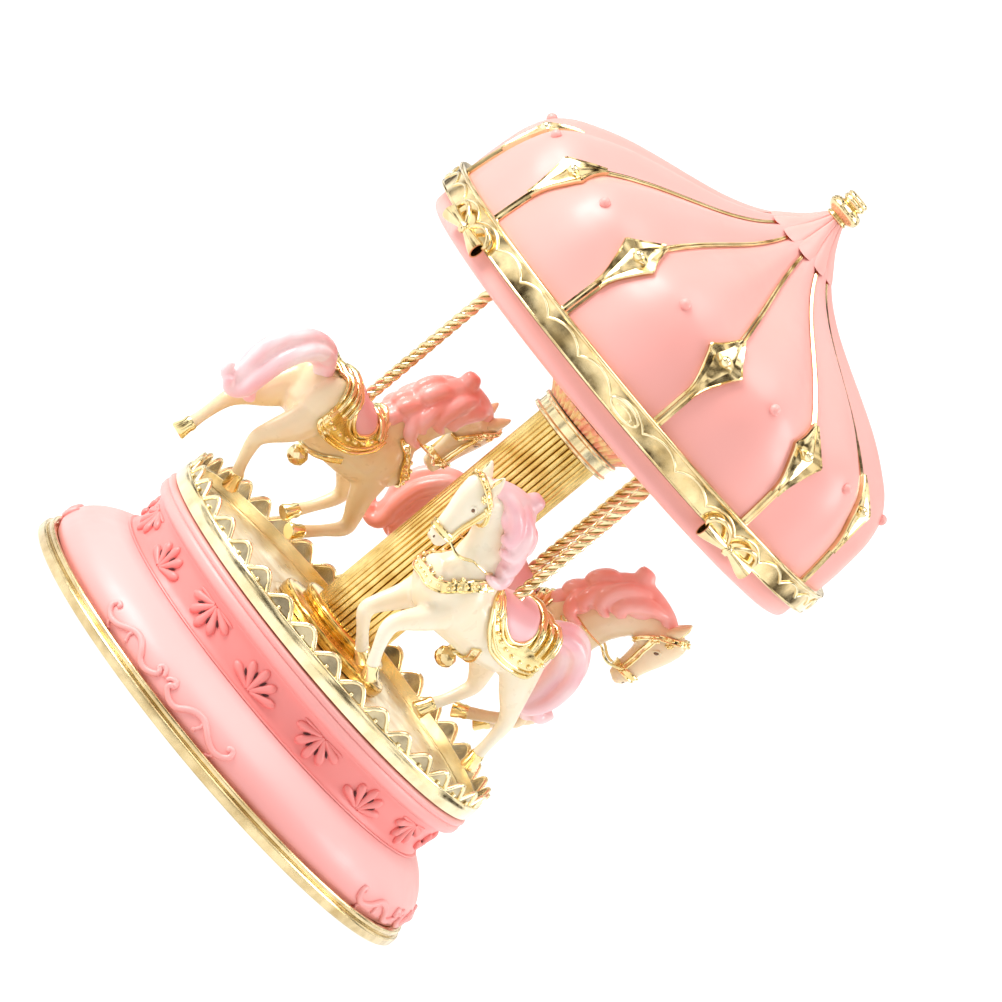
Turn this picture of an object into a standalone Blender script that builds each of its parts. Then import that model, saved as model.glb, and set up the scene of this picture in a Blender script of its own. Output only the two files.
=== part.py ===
"""Carousel music box: a domed roof with three hanging horses turns over a musical pedestal.

Lengths are in millimetres until MM turns them into metres. +Z is up, the origin is the centre of
the base's underside, and angles named "bearing" run from the front (-Y) towards +X.
"""
import math

import bmesh
import bpy
from mathutils import Matrix, Vector

MM = 0.001
GAP = 0.3                    # air left between pieces that touch on the real object
RING_STEPS = 36              # facets round the large turned pieces
SMALL_STEPS = 10             # facets round screws, rods and nuts
BORE = 3.4                   # radius of the holes that the drive shaft passes through

# Pedestal
RIM_RADIUS = 60.0
RIM_HEIGHT = 3.5
SHELL_TOP = 30.6
SHELL_BORE = 43.5
DECK_RADIUS = 46.4
DECK_BOTTOM = SHELL_TOP + GAP
DECK_TOP = 32.1
FENCE_ARCHES = 38
FENCE_INNER = 47.9
FENCE_OUTER = 49.0
FENCE_VALLEY = 35.0
FENCE_TIP = 38.0

# Key recess and movement
PLATE_TOP = 3.0
RECESS_CEILING = 8.5
CUP_TOP = 9.7
BEDPLATE_BOTTOM = CUP_TOP + GAP
BEDPLATE_TOP = 11.5
BASE_SCREW_CIRCLE = 50.0
MOVEMENT_SCREW_CIRCLE = 13.5
BARREL_RADIUS = 12.2
BARREL_BOTTOM = 12.0
BARREL_TOP = 21.5
CROWN_TEETH = 24
PINION_TEETH = 6
CROWN_MEAN_RADIUS = 14.5
TOOTH_PITCH = 2.0 * math.pi * CROWN_MEAN_RADIUS / CROWN_TEETH
PINION_PITCH_RADIUS = TOOTH_PITCH * PINION_TEETH / (2.0 * math.pi)
CYLINDER_AXIS_Z = 18.0
DRUM_RADIUS = 5.2
DRUM_START = 19.0
DRUM_LENGTH = 14.6
PIN_HEIGHT = 0.4
COMB_TEETH = 14
WHEEL_TEETH = 18
WHEEL_RADIUS = 5.6
WHEEL_X = 35.4
WORM_RADIUS = 1.4
FLY_Y = WHEEL_RADIUS + GAP + WORM_RADIUS

# Column
COLUMN_RADIUS = 9.3
COLUMN_REEDS = 40
COLUMN_BOTTOM = 38.6
COLUMN_TOP = 101.0
COLUMN_BORE = 6.6
SHAFT_RADIUS = 3.1

# Roof
CEILING_BOTTOM = 108.5
CEILING_THICKNESS = 2.0
BAND_BOTTOM = 116.8
BAND_TOP = 122.9
BAND_RADIUS = 61.7
GORES = 12
RIB_BEARING = 8.6            # bearing of the first rib; the others follow every 30 degrees
GORE_HOLLOW = 2.6            # how far the dome dips at a rib
DOME_FACETS = 4              # facets across one gore
DOME_THICKNESS = 1.8
DOME_PROFILE = ((59.95, 123.2), (59.4, 133.8), (57.3, 141.6), (52.6, 147.8), (42.6, 153.4),
                (30.8, 157.7), (19.1, 162.0), (9.4, 168.2))
CAP_RADIUS = 10.9
CAP_FLUTE = 0.5              # how far the cap's flutes dip at its edge
HOLLOW_SHARES = (0.35, 0.8, 1.0, 1.0, 0.8, 0.6, 0.4, 0.2)   # one for each profile point
BOW_BEARING = -51.4          # the four bows follow every 90 degrees

# Poles and horses
POLE_CIRCLE = 35.6
POLE_RADIUS = 1.3
POLE_BORE = 1.6
POLE_BEARINGS = (-88.2, 31.8, 151.8)
HORSE_HEADINGS = (50.0, 228.0, 0.0)
BALL_NUT_BOTTOM = 51.3
BALL_NUT_TOP = 56.0

# Colour, roughness and metallic value of each finish
FINISHES = {
    "pink_lacquer": ((0.93, 0.47, 0.44), 0.30, 0.0),
    "rose_lacquer": ((0.90, 0.33, 0.33), 0.32, 0.0),
    "gilt": ((0.78, 0.58, 0.26), 0.25, 1.0),
    "pale_gilt": ((0.86, 0.74, 0.50), 0.30, 1.0),
    "horse_ivory": ((0.92, 0.80, 0.62), 0.35, 0.0),
    "steel": ((0.62, 0.62, 0.64), 0.35, 1.0),
    "brass": ((0.75, 0.58, 0.28), 0.32, 1.0),
}


# ---------------------------------------------------------------- scene and object helpers

def clear_scene():
    for obj in list(bpy.data.objects):
        bpy.data.objects.remove(obj, do_unlink=True)


def new_collection(name):
    collection = bpy.data.collections.new(name)
    bpy.context.scene.collection.children.link(collection)
    return collection


def finish_material(name):
    """Return the Principled material of a finish, made on first use."""
    material = bpy.data.materials.get(name)
    if material is None:
        colour, roughness, metallic = FINISHES[name]
        material = bpy.data.materials.new(name)
        material.use_nodes = True
        shader = material.node_tree.nodes["Principled BSDF"]
        shader.inputs["Base Color"].default_value = (*colour, 1.0)
        shader.inputs["Roughness"].default_value = roughness
        shader.inputs["Metallic"].default_value = metallic
    return material


def add_part(name, mesh, finish, smooth=True):
    """Put a mesh in the parts collection as a named object."""
    if not mesh.materials:
        mesh.materials.append(finish_material(finish))
    obj = bpy.data.objects.new(name, mesh)
    PARTS.objects.link(obj)
    if smooth:
        mesh.shade_smooth()
        mesh.set_sharp_from_angle(angle=math.radians(35.0))
    return obj


def add_axis(name, location=(0.0, 0.0, 0.0)):
    """An empty on a joint's axis, which the moving pieces are parented to."""
    empty = bpy.data.objects.new(name, None)
    empty.location = Vector(location) * MM
    empty.empty_display_size = 0.01
    PARTS.objects.link(empty)
    return empty


def make_cutter(obj):
    """Turn an object into a hidden operand of Boolean modifiers."""
    PARTS.objects.unlink(obj)
    CUTTERS.objects.link(obj)
    obj.hide_render = True
    obj.display_type = "WIRE"
    return obj


def combine(obj, operand, operation):
    """Add an exact Boolean modifier."""
    modifier = obj.modifiers.new(operation.lower(), "BOOLEAN")
    modifier.operation = operation
    modifier.solver = "EXACT"
    modifier.object = make_cutter(operand)


def baked_mesh(obj):
    """Return the evaluated mesh of an object, welded, and remove the object."""
    graph = bpy.context.evaluated_depsgraph_get()
    mesh = bpy.data.meshes.new_from_object(obj.evaluated_get(graph))
    mesh.name = obj.name
    bpy.data.objects.remove(obj, do_unlink=True)
    work = bmesh.new()
    work.from_mesh(mesh)
    bmesh.ops.remove_doubles(work, verts=work.verts, dist=0.00001)
    bmesh.ops.recalc_face_normals(work, faces=work.faces)
    work.to_mesh(mesh)
    work.free()
    return mesh


def bearing_point(radius, bearing, z):
    """A point at a radius and bearing, in millimetres."""
    angle = math.radians(bearing)
    return Vector((radius * math.sin(angle), -radius * math.cos(angle), z))


# ---------------------------------------------------------------- shape helpers

def turned(name, profile, finish, steps=RING_STEPS):
    """Turn (radius, height) points about Z; they run down the outer side first.

    A profile that starts on the axis is open, and any other one closes on itself.
    """
    count = len(profile)
    edges = [(i, i + 1) for i in range(count - 1)]
    if profile[0][0] > 0.0:
        edges.append((count - 1, 0))
    mesh = bpy.data.meshes.new(name)
    mesh.from_pydata([(r * MM, 0.0, z * MM) for r, z in profile], edges, [])
    obj = add_part(name, mesh, finish, smooth=False)
    screw = obj.modifiers.new("turn", "SCREW")
    screw.axis = "Z"
    screw.steps = steps
    screw.render_steps = steps
    screw.use_merge_vertices = True
    screw.merge_threshold = 0.00001
    screw.use_smooth_shade = True
    return obj


def rod(name, radius, bottom, top, finish, steps=SMALL_STEPS):
    return turned(name, ((0.0, top), (radius, top), (radius, bottom), (0.0, bottom)), finish, steps)


def circle(radius, count, centre=(0.0, 0.0)):
    """Points round a circle."""
    step = 2.0 * math.pi / count
    return [(centre[0] + radius * math.cos(i * step), centre[1] + radius * math.sin(i * step))
            for i in range(count)]


def toothed_outline(teeth, root, tip):
    """Points round a straight-flanked gear whose first space is centred on +X."""
    points = []
    for tooth in range(teeth):
        for radius, share in ((root, -0.17), (tip, -0.09), (tip, 0.09), (root, 0.17)):
            angle = 2.0 * math.pi * (tooth + 0.5 + share) / teeth
            points.append((radius * math.cos(angle), radius * math.sin(angle)))
    return points


def plate(name, outlines, thickness, finish):
    """A flat piece about the XY plane; outlines after the first are its holes."""
    curve = bpy.data.curves.new(name, "CURVE")
    curve.dimensions = "2D"
    curve.fill_mode = "BOTH"
    curve.extrude = 0.5 * thickness * MM
    for outline in outlines:
        spline = curve.splines.new("POLY")
        spline.points.add(len(outline) - 1)
        for point, (x, y) in zip(spline.points, outline):
            point.co = (x * MM, y * MM, 0.0, 1.0)
        spline.use_cyclic_u = True
    temporary = bpy.data.objects.new(name + "_outline", curve)
    PARTS.objects.link(temporary)
    mesh = baked_mesh(temporary)
    mesh.materials.clear()
    return add_part(name, mesh, finish)


def block(name, low, high, finish):
    """A box between two corners."""
    work = bmesh.new()
    bmesh.ops.create_cube(work, size=1.0)
    size = Vector(high) - Vector(low)
    middle = (Vector(high) + Vector(low)) * 0.5
    bmesh.ops.scale(work, vec=size * MM, verts=work.verts)
    bmesh.ops.translate(work, vec=middle * MM, verts=work.verts)
    mesh = bpy.data.meshes.new(name)
    work.to_mesh(mesh)
    work.free()
    return add_part(name, mesh, finish, smooth=False)


def drill(obj, holes):
    """Cut upright round holes, each (x, y, radius, bottom, top)."""
    for number, (x, y, radius, bottom, top) in enumerate(holes):
        drill_bit = rod("%s_drill_%d" % (obj.name, number), radius, bottom, top, "steel")
        drill_bit.location = (x * MM, y * MM, 0.0)
        combine(obj, drill_bit, "DIFFERENCE")


def lofted_ring(name, angles, section, finish):
    """Join closed sections, given as (radius, height) points for each bearing, into a ring."""
    work = bmesh.new()
    rings = []
    for angle in angles:
        rings.append([work.verts.new(bearing_point(r, angle, z) * MM) for r, z in section(angle)])
    for ring, following in zip(rings, rings[1:] + rings[:1]):
        for i in range(len(ring)):
            j = (i + 1) % len(ring)
            work.faces.new((ring[i], ring[j], following[j], following[i]))
    bmesh.ops.recalc_face_normals(work, faces=work.faces)
    mesh = bpy.data.meshes.new(name)
    work.to_mesh(mesh)
    work.free()
    return add_part(name, mesh, finish)


def screw_profile(shank, head, tip_z, head_top, head_bottom):
    """A screw with its point up and a flat pan head below."""
    return ((0.0, tip_z), (shank, tip_z), (shank, head_top), (head, head_top),
            (head, head_bottom + 0.3), (head - 0.5, head_bottom), (0.0, head_bottom))


# ---------------------------------------------------------------- pedestal

def build_pedestal():
    turned("rim_ring", ((58.6, RIM_HEIGHT), (59.1, 3.1), (59.1, 2.2), (RIM_RADIUS, 1.9),
                        (RIM_RADIUS, 0.0), (54.0, 0.0), (54.0, RIM_HEIGHT)), "gilt")

    base_plate = turned("base_plate", ((53.7, PLATE_TOP), (53.7, 1.8), (17.0, 1.8),
                                       (16.6, RECESS_CEILING), (2.0, RECESS_CEILING), (2.0, CUP_TOP),
                                       (17.8, CUP_TOP), (18.2, PLATE_TOP)), "steel")
    shell = turned("base_shell", (
        (49.4, SHELL_TOP), (50.0, 29.8), (50.0, 26.6), (48.0, 25.8), (47.1, 21.5), (48.0, 16.6),
        (51.6, 15.4), (55.9, 12.9), (58.1, 8.4), (57.2, 3.8), (45.0, 3.8),
        (45.0, 12.0), (SHELL_BORE, 15.0), (SHELL_BORE, SHELL_TOP)), "pink_lacquer")

    screw_mesh = None
    for number in range(4):
        x, y, _ = bearing_point(BASE_SCREW_CIRCLE, 45.0 + 90.0 * number, 0.0)
        drill(base_plate, [(x, y, 1.6, 1.0, 4.0)])
        drill(shell, [(x, y, 1.6, 3.0, 11.0)])
        name = "base_screw_%d" % (number + 1)
        if screw_mesh is None:
            screw = turned(name, screw_profile(1.3, 2.6, 10.0, 1.5, 0.5), "steel", 10)
            screw_mesh = baked_mesh(screw)
        screw = add_part(name, screw_mesh, "steel")
        screw.location = (x * MM, y * MM, 0.0)

    turned("deck_ring", ((49.3, 34.7), (49.6, 34.3), (49.6, DECK_BOTTOM),
                         (46.8, DECK_BOTTOM), (47.4, 34.7)), "gilt")
    turned("deck_floor", ((DECK_RADIUS, DECK_TOP), (DECK_RADIUS, DECK_BOTTOM),
                          (COLUMN_BORE, DECK_BOTTOM), (COLUMN_BORE, DECK_TOP)), "pale_gilt")

    pitch = 360.0 / FENCE_ARCHES
    rise = (0.0, 0.95, 0.95)

    def fence_section(bearing):
        share = rise[int(round(bearing / pitch * 3.0)) % 3]
        top = FENCE_VALLEY + GAP + (FENCE_TIP - FENCE_VALLEY - GAP) * share
        return ((FENCE_OUTER, top), (FENCE_OUTER, FENCE_VALLEY),
                (FENCE_INNER, FENCE_VALLEY), (FENCE_INNER, top))

    lofted_ring("arch_fence", [pitch * i / 3.0 for i in range(3 * FENCE_ARCHES)],
                fence_section, "gilt")
    return base_plate


def build_column():
    turned("column_foot", ((11.2, 38.3), (12.2, 37.3), (11.8, 35.8), (15.8, 35.1), (16.2, 34.5),
                           (16.2, DECK_TOP + GAP), (COLUMN_BORE, DECK_TOP + GAP),
                           (COLUMN_BORE, 38.3)), "gilt", 28)
    reeds = []
    for i in range(2 * COLUMN_REEDS):
        angle = math.pi * i / COLUMN_REEDS
        radius = COLUMN_RADIUS if i % 2 else COLUMN_RADIUS - 0.5
        reeds.append((radius * math.cos(angle), radius * math.sin(angle)))
    sleeve = plate("column_sleeve", (reeds, circle(COLUMN_BORE, 20)),
                   COLUMN_TOP - COLUMN_BOTTOM, "gilt")
    sleeve.location.z = 0.5 * (COLUMN_TOP + COLUMN_BOTTOM) * MM
    turned("column_ring", ((11.5, 105.3), (11.5, 104.4), (10.6, 104.0), (10.6, 102.6),
                           (11.5, 102.2), (11.5, COLUMN_TOP + GAP), (COLUMN_BORE, COLUMN_TOP + GAP),
                           (COLUMN_BORE, 105.3)), "pale_gilt", 24)
    turned("shaft_bush", ((6.3, 105.0), (6.3, 93.0), (BORE, 93.0), (BORE, 105.0)), "brass", 16)


# ---------------------------------------------------------------- movement

def build_bedplate(base_plate):
    corner = ((36.0, -18.0), (40.8, -12.0), (40.8, 11.0), (36.0, 14.0))
    arc = [(19.0 * math.cos(math.radians(a)), 19.0 * math.sin(math.radians(a)))
           for a in range(50, 300, 24)]
    holes = [circle(1.7, SMALL_STEPS)]
    screw_mesh = None
    for number in range(3):
        x, y, _ = bearing_point(MOVEMENT_SCREW_CIRCLE, 90.0 + 120.0 * number, 0.0)
        holes.append(circle(1.4, SMALL_STEPS, (x, y)))
        drill(base_plate, [(x, y, 1.4, 8.0, 10.2)])
        name = "movement_screw_%d" % (number + 1)
        if screw_mesh is None:
            screw = turned(name, screw_profile(1.1, 2.0, BEDPLATE_TOP, 8.2, 7.0), "steel", 10)
            screw_mesh = baked_mesh(screw)
        screw = add_part(name, screw_mesh, "steel")
        screw.location = (x * MM, y * MM, 0.0)
    bedplate = plate("bedplate", [list(corner) + arc] + holes,
                     BEDPLATE_TOP - BEDPLATE_BOTTOM, "brass")
    bedplate.location.z = 0.5 * (BEDPLATE_TOP + BEDPLATE_BOTTOM) * MM


def build_spring_drive(carousel):
    """Barrel, crown wheel, cover and mainspring, which turn with the roof."""
    barrel = turned("spring_barrel", ((BARREL_RADIUS, BARREL_TOP), (BARREL_RADIUS, BARREL_BOTTOM),
                                      (1.6, BARREL_BOTTOM), (1.6, 13.0), (11.3, 13.0),
                                      (11.3, BARREL_TOP)), "brass", 32)
    cover = turned("barrel_cover", ((4.5, 27.0), (4.5, 23.2), (BARREL_RADIUS, 23.0),
                                    (BARREL_RADIUS, BARREL_TOP + GAP), (BORE, BARREL_TOP + GAP),
                                    (BORE, 27.0)), "brass", 32)
    pitch_z = CYLINDER_AXIS_Z - PINION_PITCH_RADIUS
    inner = BARREL_RADIUS + GAP
    outer = 2.0 * CROWN_MEAN_RADIUS - inner - 0.9
    flanks = ((-0.17, -1.1), (-0.09, 0.7), (0.09, 0.7), (0.17, -1.1))
    heights = {}
    for tooth in range(CROWN_TEETH):
        for share, rise in flanks:
            heights[90.0 + 360.0 * (tooth + share) / CROWN_TEETH] = pitch_z + rise

    def crown_section(bearing):
        top = heights[bearing]
        return (outer, top), (outer, BARREL_BOTTOM), (inner, BARREL_BOTTOM), (inner, top)

    crown = lofted_ring("crown_wheel", list(heights), crown_section, "brass")

    work = bmesh.new()
    turns = 3
    per_turn = 12
    previous = None
    for i in range(turns * per_turn + 1):
        angle = 2.0 * math.pi * i / per_turn
        radius = 3.2 + 7.2 * i / (turns * per_turn)
        low = Vector((radius * math.cos(angle), radius * math.sin(angle), 13.6))
        pair = [work.verts.new(low * MM), work.verts.new((low + Vector((0.0, 0.0, 7.2))) * MM)]
        if previous:
            work.faces.new((previous[0], pair[0], pair[1], previous[1]))
        previous = pair
    mesh = bpy.data.meshes.new("mainspring")
    work.to_mesh(mesh)
    work.free()
    spring = add_part("mainspring", mesh, "steel")
    leaf = spring.modifiers.new("leaf", "SOLIDIFY")
    leaf.thickness = 0.4 * MM
    leaf.offset = 0.0

    shaft = rod("drive_shaft", SHAFT_RADIUS, BARREL_TOP + 2.0 * GAP, 118.0, "steel", 16)
    for piece in (barrel, cover, crown, spring, shaft):
        piece.parent = carousel


def build_key(key_axis):
    """A butterfly key under the base and the arbor that winds the spring."""
    outline = []
    for side, start in ((1.0, -120), (-1.0, 60)):
        outline.append((2.6 * side, 4.3 - 1.5 * side))
        for degrees in range(start, start + 241, 40):
            angle = math.radians(degrees)
            outline.append((6.2 * side + 3.0 * math.cos(angle), 4.3 + 3.0 * math.sin(angle)))
        outline.append((2.6 * side, 4.3 + 1.5 * side))
    eyes = [circle(1.3, 8, (6.4 * side, 4.3)) for side in (1.0, -1.0)]
    wings = plate("winding_key", [outline] + eyes, 1.8, "brass")
    wings.rotation_euler.x = 0.5 * math.pi
    hub = turned("key_hub", ((0.0, 7.9), (2.7, 7.9), (2.7, 1.6), (2.2, 1.1), (0.0, 1.1)),
                 "brass", SMALL_STEPS)
    combine(wings, hub, "UNION")
    socket = rod("key_socket", 1.5, 3.5, 9.0, "steel")
    combine(wings, socket, "DIFFERENCE")
    arbor = rod("key_arbor", 1.2, 4.0, 21.0, "steel")
    for piece in (wings, arbor):
        piece.parent = key_axis


def along_x(obj, axis, x):
    """Lay a piece made about Z along +X on a joint axis."""
    obj.parent = axis
    obj.rotation_euler.y = 0.5 * math.pi
    obj.location = (x * MM, 0.0, 0.0)


def build_cylinder(cylinder_axis):
    """Pinned cylinder with the pinion that the crown wheel drives and the wheel for the fly."""
    profile = ((0.0, 40.6), (1.2, 40.6), (1.2, DRUM_START + DRUM_LENGTH),
               (DRUM_RADIUS, DRUM_START + DRUM_LENGTH), (DRUM_RADIUS, DRUM_START),
               (1.2, DRUM_START), (1.2, 13.2), (0.0, 13.2))
    cylinder = turned("pin_cylinder", profile, "brass", 24)
    work = bmesh.new()
    pitch = DRUM_LENGTH / COMB_TEETH
    for number in range(COMB_TEETH):
        angle = math.radians(137.5 * number + 20.0)
        x = DRUM_START + (number + 0.5) * pitch
        turn = Matrix.Rotation(angle, 4, "Z") @ Matrix.Translation(
            Vector((DRUM_RADIUS - 0.2, 0.0, x)) * MM)
        stretch = Matrix.Diagonal((1.2 * MM, 0.3 * MM, 0.3 * MM, 1.0))
        bmesh.ops.create_cube(work, size=1.0, matrix=turn @ stretch)
    mesh = bpy.data.meshes.new("cylinder_pins")
    work.to_mesh(mesh)
    work.free()
    combine(cylinder, add_part("cylinder_pins", mesh, "steel", smooth=False), "UNION")
    mesh = baked_mesh(cylinder)
    bpy.data.objects.remove(bpy.data.objects["cylinder_pins"], do_unlink=True)
    cylinder = add_part("pin_cylinder", mesh, "brass")
    along_x(cylinder, cylinder_axis, 0.0)

    pinion = plate("cylinder_pinion", (toothed_outline(PINION_TEETH, PINION_PITCH_RADIUS - 1.0,
                                                       PINION_PITCH_RADIUS + 0.65),
                                       circle(1.5, SMALL_STEPS)), 2.0, "steel")
    along_x(pinion, cylinder_axis, CROWN_MEAN_RADIUS)
    wheel = plate("cylinder_wheel", (toothed_outline(WHEEL_TEETH, WHEEL_RADIUS - 0.8, WHEEL_RADIUS),
                                     circle(1.5, SMALL_STEPS)), 1.6, "brass")
    along_x(wheel, cylinder_axis, WHEEL_X)


def build_bridges():
    """The two uprights that carry the cylinder's arbor."""
    foot = BEDPLATE_TOP + GAP - CYLINDER_AXIS_Z
    outline = [(-4.5, foot), (4.5, foot), (4.5, -2.0)]
    for degrees in range(0, 181, 30):
        angle = math.radians(degrees)
        outline.append((3.6 * math.cos(angle), 3.6 * math.sin(angle)))
    outline.append((-4.5, -2.0))
    for name, x in (("cylinder_bridge_inner", 17.6), ("cylinder_bridge_outer", 39.2)):
        bridge = plate(name, (outline, circle(1.5, SMALL_STEPS)), 1.3, "brass")
        bridge.rotation_euler = (0.5 * math.pi, 0.0, 0.5 * math.pi)
        bridge.location = (x * MM, 0.0, CYLINDER_AXIS_Z * MM)


def build_comb():
    """Steel comb with its block and two screws; the tips stand just off the pins."""
    pitch = DRUM_LENGTH / COMB_TEETH
    tip_y = -(DRUM_RADIUS + PIN_HEIGHT + GAP)
    root_y = tip_y - 6.0
    back_y = -17.0
    outline = [(DRUM_START, back_y), (DRUM_START + DRUM_LENGTH, back_y)]
    for number in reversed(range(COMB_TEETH)):
        middle = DRUM_START + (number + 0.5) * pitch
        for x, y in ((0.36, root_y), (0.3, tip_y), (-0.3, tip_y), (-0.36, root_y)):
            outline.append((middle + x, y))
    screws_at = ((DRUM_START + 3.6, -14.7), (DRUM_START + DRUM_LENGTH - 3.6, -14.7))
    holes = [circle(1.3, 10, centre) for centre in screws_at]
    comb = plate("comb", [outline] + holes, 1.0, "steel")
    comb.location.z = 17.8 * MM
    comb_block = block("comb_block", (DRUM_START, back_y, BEDPLATE_TOP + GAP),
                       (DRUM_START + DRUM_LENGTH, root_y - 0.4, 17.0), "brass")
    for number, (x, y) in enumerate(screws_at):
        drill(comb_block, [(x, y, 1.3, 13.0, 17.5)])
        name = "comb_screw_%d" % (number + 1)
        screw = turned(name, ((0.0, 19.8), (1.5, 19.8), (1.9, 19.4), (1.9, 18.6), (1.0, 18.6),
                              (1.0, 13.5), (0.0, 13.5)), "steel", 10)
        screw.location = (x * MM, y * MM, 0.0)


def build_governor(fly_axis):
    """Air brake: a worm and two wings on an upright arbor in a C-shaped frame."""
    fly = turned("fly", ((0.0, 27.2), (0.7, 27.2), (0.7, 20.5), (WORM_RADIUS, 20.0),
                         (WORM_RADIUS, 16.0), (0.7, 15.5), (0.7, 13.9), (0.0, 13.9)), "steel", 10)
    wings = block("fly_wings", (-4.2, -0.35, 21.6), (4.2, 0.35, 26.4), "brass")
    wings.parent = fly_axis
    combine(fly, wings, "UNION")
    fly.parent = fly_axis
    frame = plate("governor_frame", (((-1.5, 11.8), (7.2, 11.8), (7.2, 29.2), (-1.5, 29.2),
                                      (-1.5, 27.5), (5.6, 27.5), (5.6, 13.5), (-1.5, 13.5)),),
                  3.0, "brass")
    frame.rotation_euler = (0.5 * math.pi, 0.0, math.radians(110.0))
    frame.location = (WHEEL_X * MM, FLY_Y * MM, 0.0)


# ---------------------------------------------------------------- roof

def dome_hollow(bearing):
    """Dip of the faceted dome between gores, from 0 mid-gore to GORE_HOLLOW at a rib."""
    facet = (bearing - RIB_BEARING) * DOME_FACETS * GORES / 360.0
    share = facet - math.floor(facet)
    low, high = (0.5 + 0.5 * math.cos(2.0 * math.pi * corner / DOME_FACETS)
                 for corner in (math.floor(facet), math.floor(facet) + 1))
    return GORE_HOLLOW * (low + (high - low) * share)


def hollow_share(index):
    """The dips are deepest a little above the band and fade out at the cap."""
    return HOLLOW_SHARES[index]


def dome_direction(index):
    """Outward unit direction (radius, height) of the dome's profile at one of its points."""
    before = DOME_PROFILE[max(index - 1, 0)]
    after = DOME_PROFILE[min(index + 1, len(DOME_PROFILE) - 1)]
    tangent = Vector((after[0] - before[0], after[1] - before[1])).normalized()
    return Vector((tangent.y, -tangent.x))


def dome_offset(index, amount):
    point = Vector(DOME_PROFILE[index]) + dome_direction(index) * amount
    return point.x, point.y


def build_dome():
    rows = range(len(DOME_PROFILE))

    def dome_section(bearing):
        hollow = dome_hollow(bearing)
        outside = [dome_offset(i, -hollow * hollow_share(i)) for i in reversed(rows)]
        inside = [dome_offset(i, -DOME_THICKNESS - hollow * hollow_share(i)) for i in rows]
        floor = DOME_PROFILE[0][1]
        outside[-1] = (outside[-1][0], floor)
        inside[0] = (inside[0][0], floor)
        return outside + inside

    steps = DOME_FACETS * GORES
    return lofted_ring("dome_shell", [RIB_BEARING + 360.0 * i / steps for i in range(steps)],
                       dome_section, "pink_lacquer")


def build_rib_cage():
    """Twelve ribs with kite ornaments, joined by a bead on the band and a ring under the cap."""
    stations = ((0.0, 1.1), (0.12, 1.1), (1.0, 2.0), (2.0, 4.9), (2.25, 5.6), (3.0, 1.2),
                (4.0, 0.8), (5.0, 0.7), (6.0, 0.6), (6.55, 0.5), (6.75, 0.5))
    last = len(DOME_PROFILE) - 1

    def surface(row, bearing):
        """Point just off the dome at a fractional row of its profile."""
        index = min(int(row), last - 1)
        share = row - index
        lift = GAP + 0.1
        hollow = dome_hollow(bearing)
        low = Vector(dome_offset(index, lift - hollow * hollow_share(index)))
        high = Vector(dome_offset(index + 1, lift - hollow * hollow_share(index + 1)))
        point = low.lerp(high, share)
        return bearing_point(point.x, bearing, max(point.y, DOME_PROFILE[0][1] + 0.1))

    work = bmesh.new()
    columns = []
    for rib in range(GORES):
        middle = RIB_BEARING + 360.0 * rib / GORES
        for side in (-1.0, 1.0):
            column = []
            for row, half_width in stations:
                radius = surface(row, middle).xy.length
                reach = math.degrees(half_width / radius)
                column.append(work.verts.new(surface(row, middle + side * reach) * MM))
            columns.append(column)
        for between in (7.5, 15.0, 22.5):
            bead = {}
            for index in (0, 1, len(stations) - 2, len(stations) - 1):
                point = surface(stations[index][0], middle + between)
                bead[index] = work.verts.new(point * MM)
            columns.append(bead)
    for left, right in zip(columns, columns[1:] + columns[:1]):
        whole = isinstance(left, list) and isinstance(right, list)
        spans = range(len(stations) - 1) if whole else (0, len(stations) - 2)
        for i in spans:
            work.faces.new((left[i], right[i], right[i + 1], left[i + 1]))
    bmesh.ops.recalc_face_normals(work, faces=work.faces)
    mesh = bpy.data.meshes.new("rib_cage")
    work.to_mesh(mesh)
    work.free()
    cage = add_part("rib_cage", mesh, "gilt")
    thickness = cage.modifiers.new("thickness", "SOLIDIFY")
    thickness.thickness = 0.9 * MM
    thickness.offset = 1.0
    return cage


def build_cap():
    outer = ((2.6, 176.8), (4.4, 174.3), (6.1, 172.2), (8.3, 170.2), (CAP_RADIUS, 168.9))
    inner = ((10.2, 168.4), (8.0, 169.3), (5.8, 171.2), (1.6, 172.0), (1.6, 176.8))

    def cap_section(bearing):
        flute = 0.5 - 0.5 * math.cos(math.radians(GORES * (bearing - RIB_BEARING)))
        scale = 1.0 - CAP_FLUTE * flute / CAP_RADIUS
        return [(r * scale, z) for r, z in outer + inner[:-2]] + list(inner[-2:])

    steps = 2 * GORES
    return lofted_ring("roof_cap", [RIB_BEARING + 360.0 * i / steps for i in range(steps)],
                       cap_section, "pink_lacquer")


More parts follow.
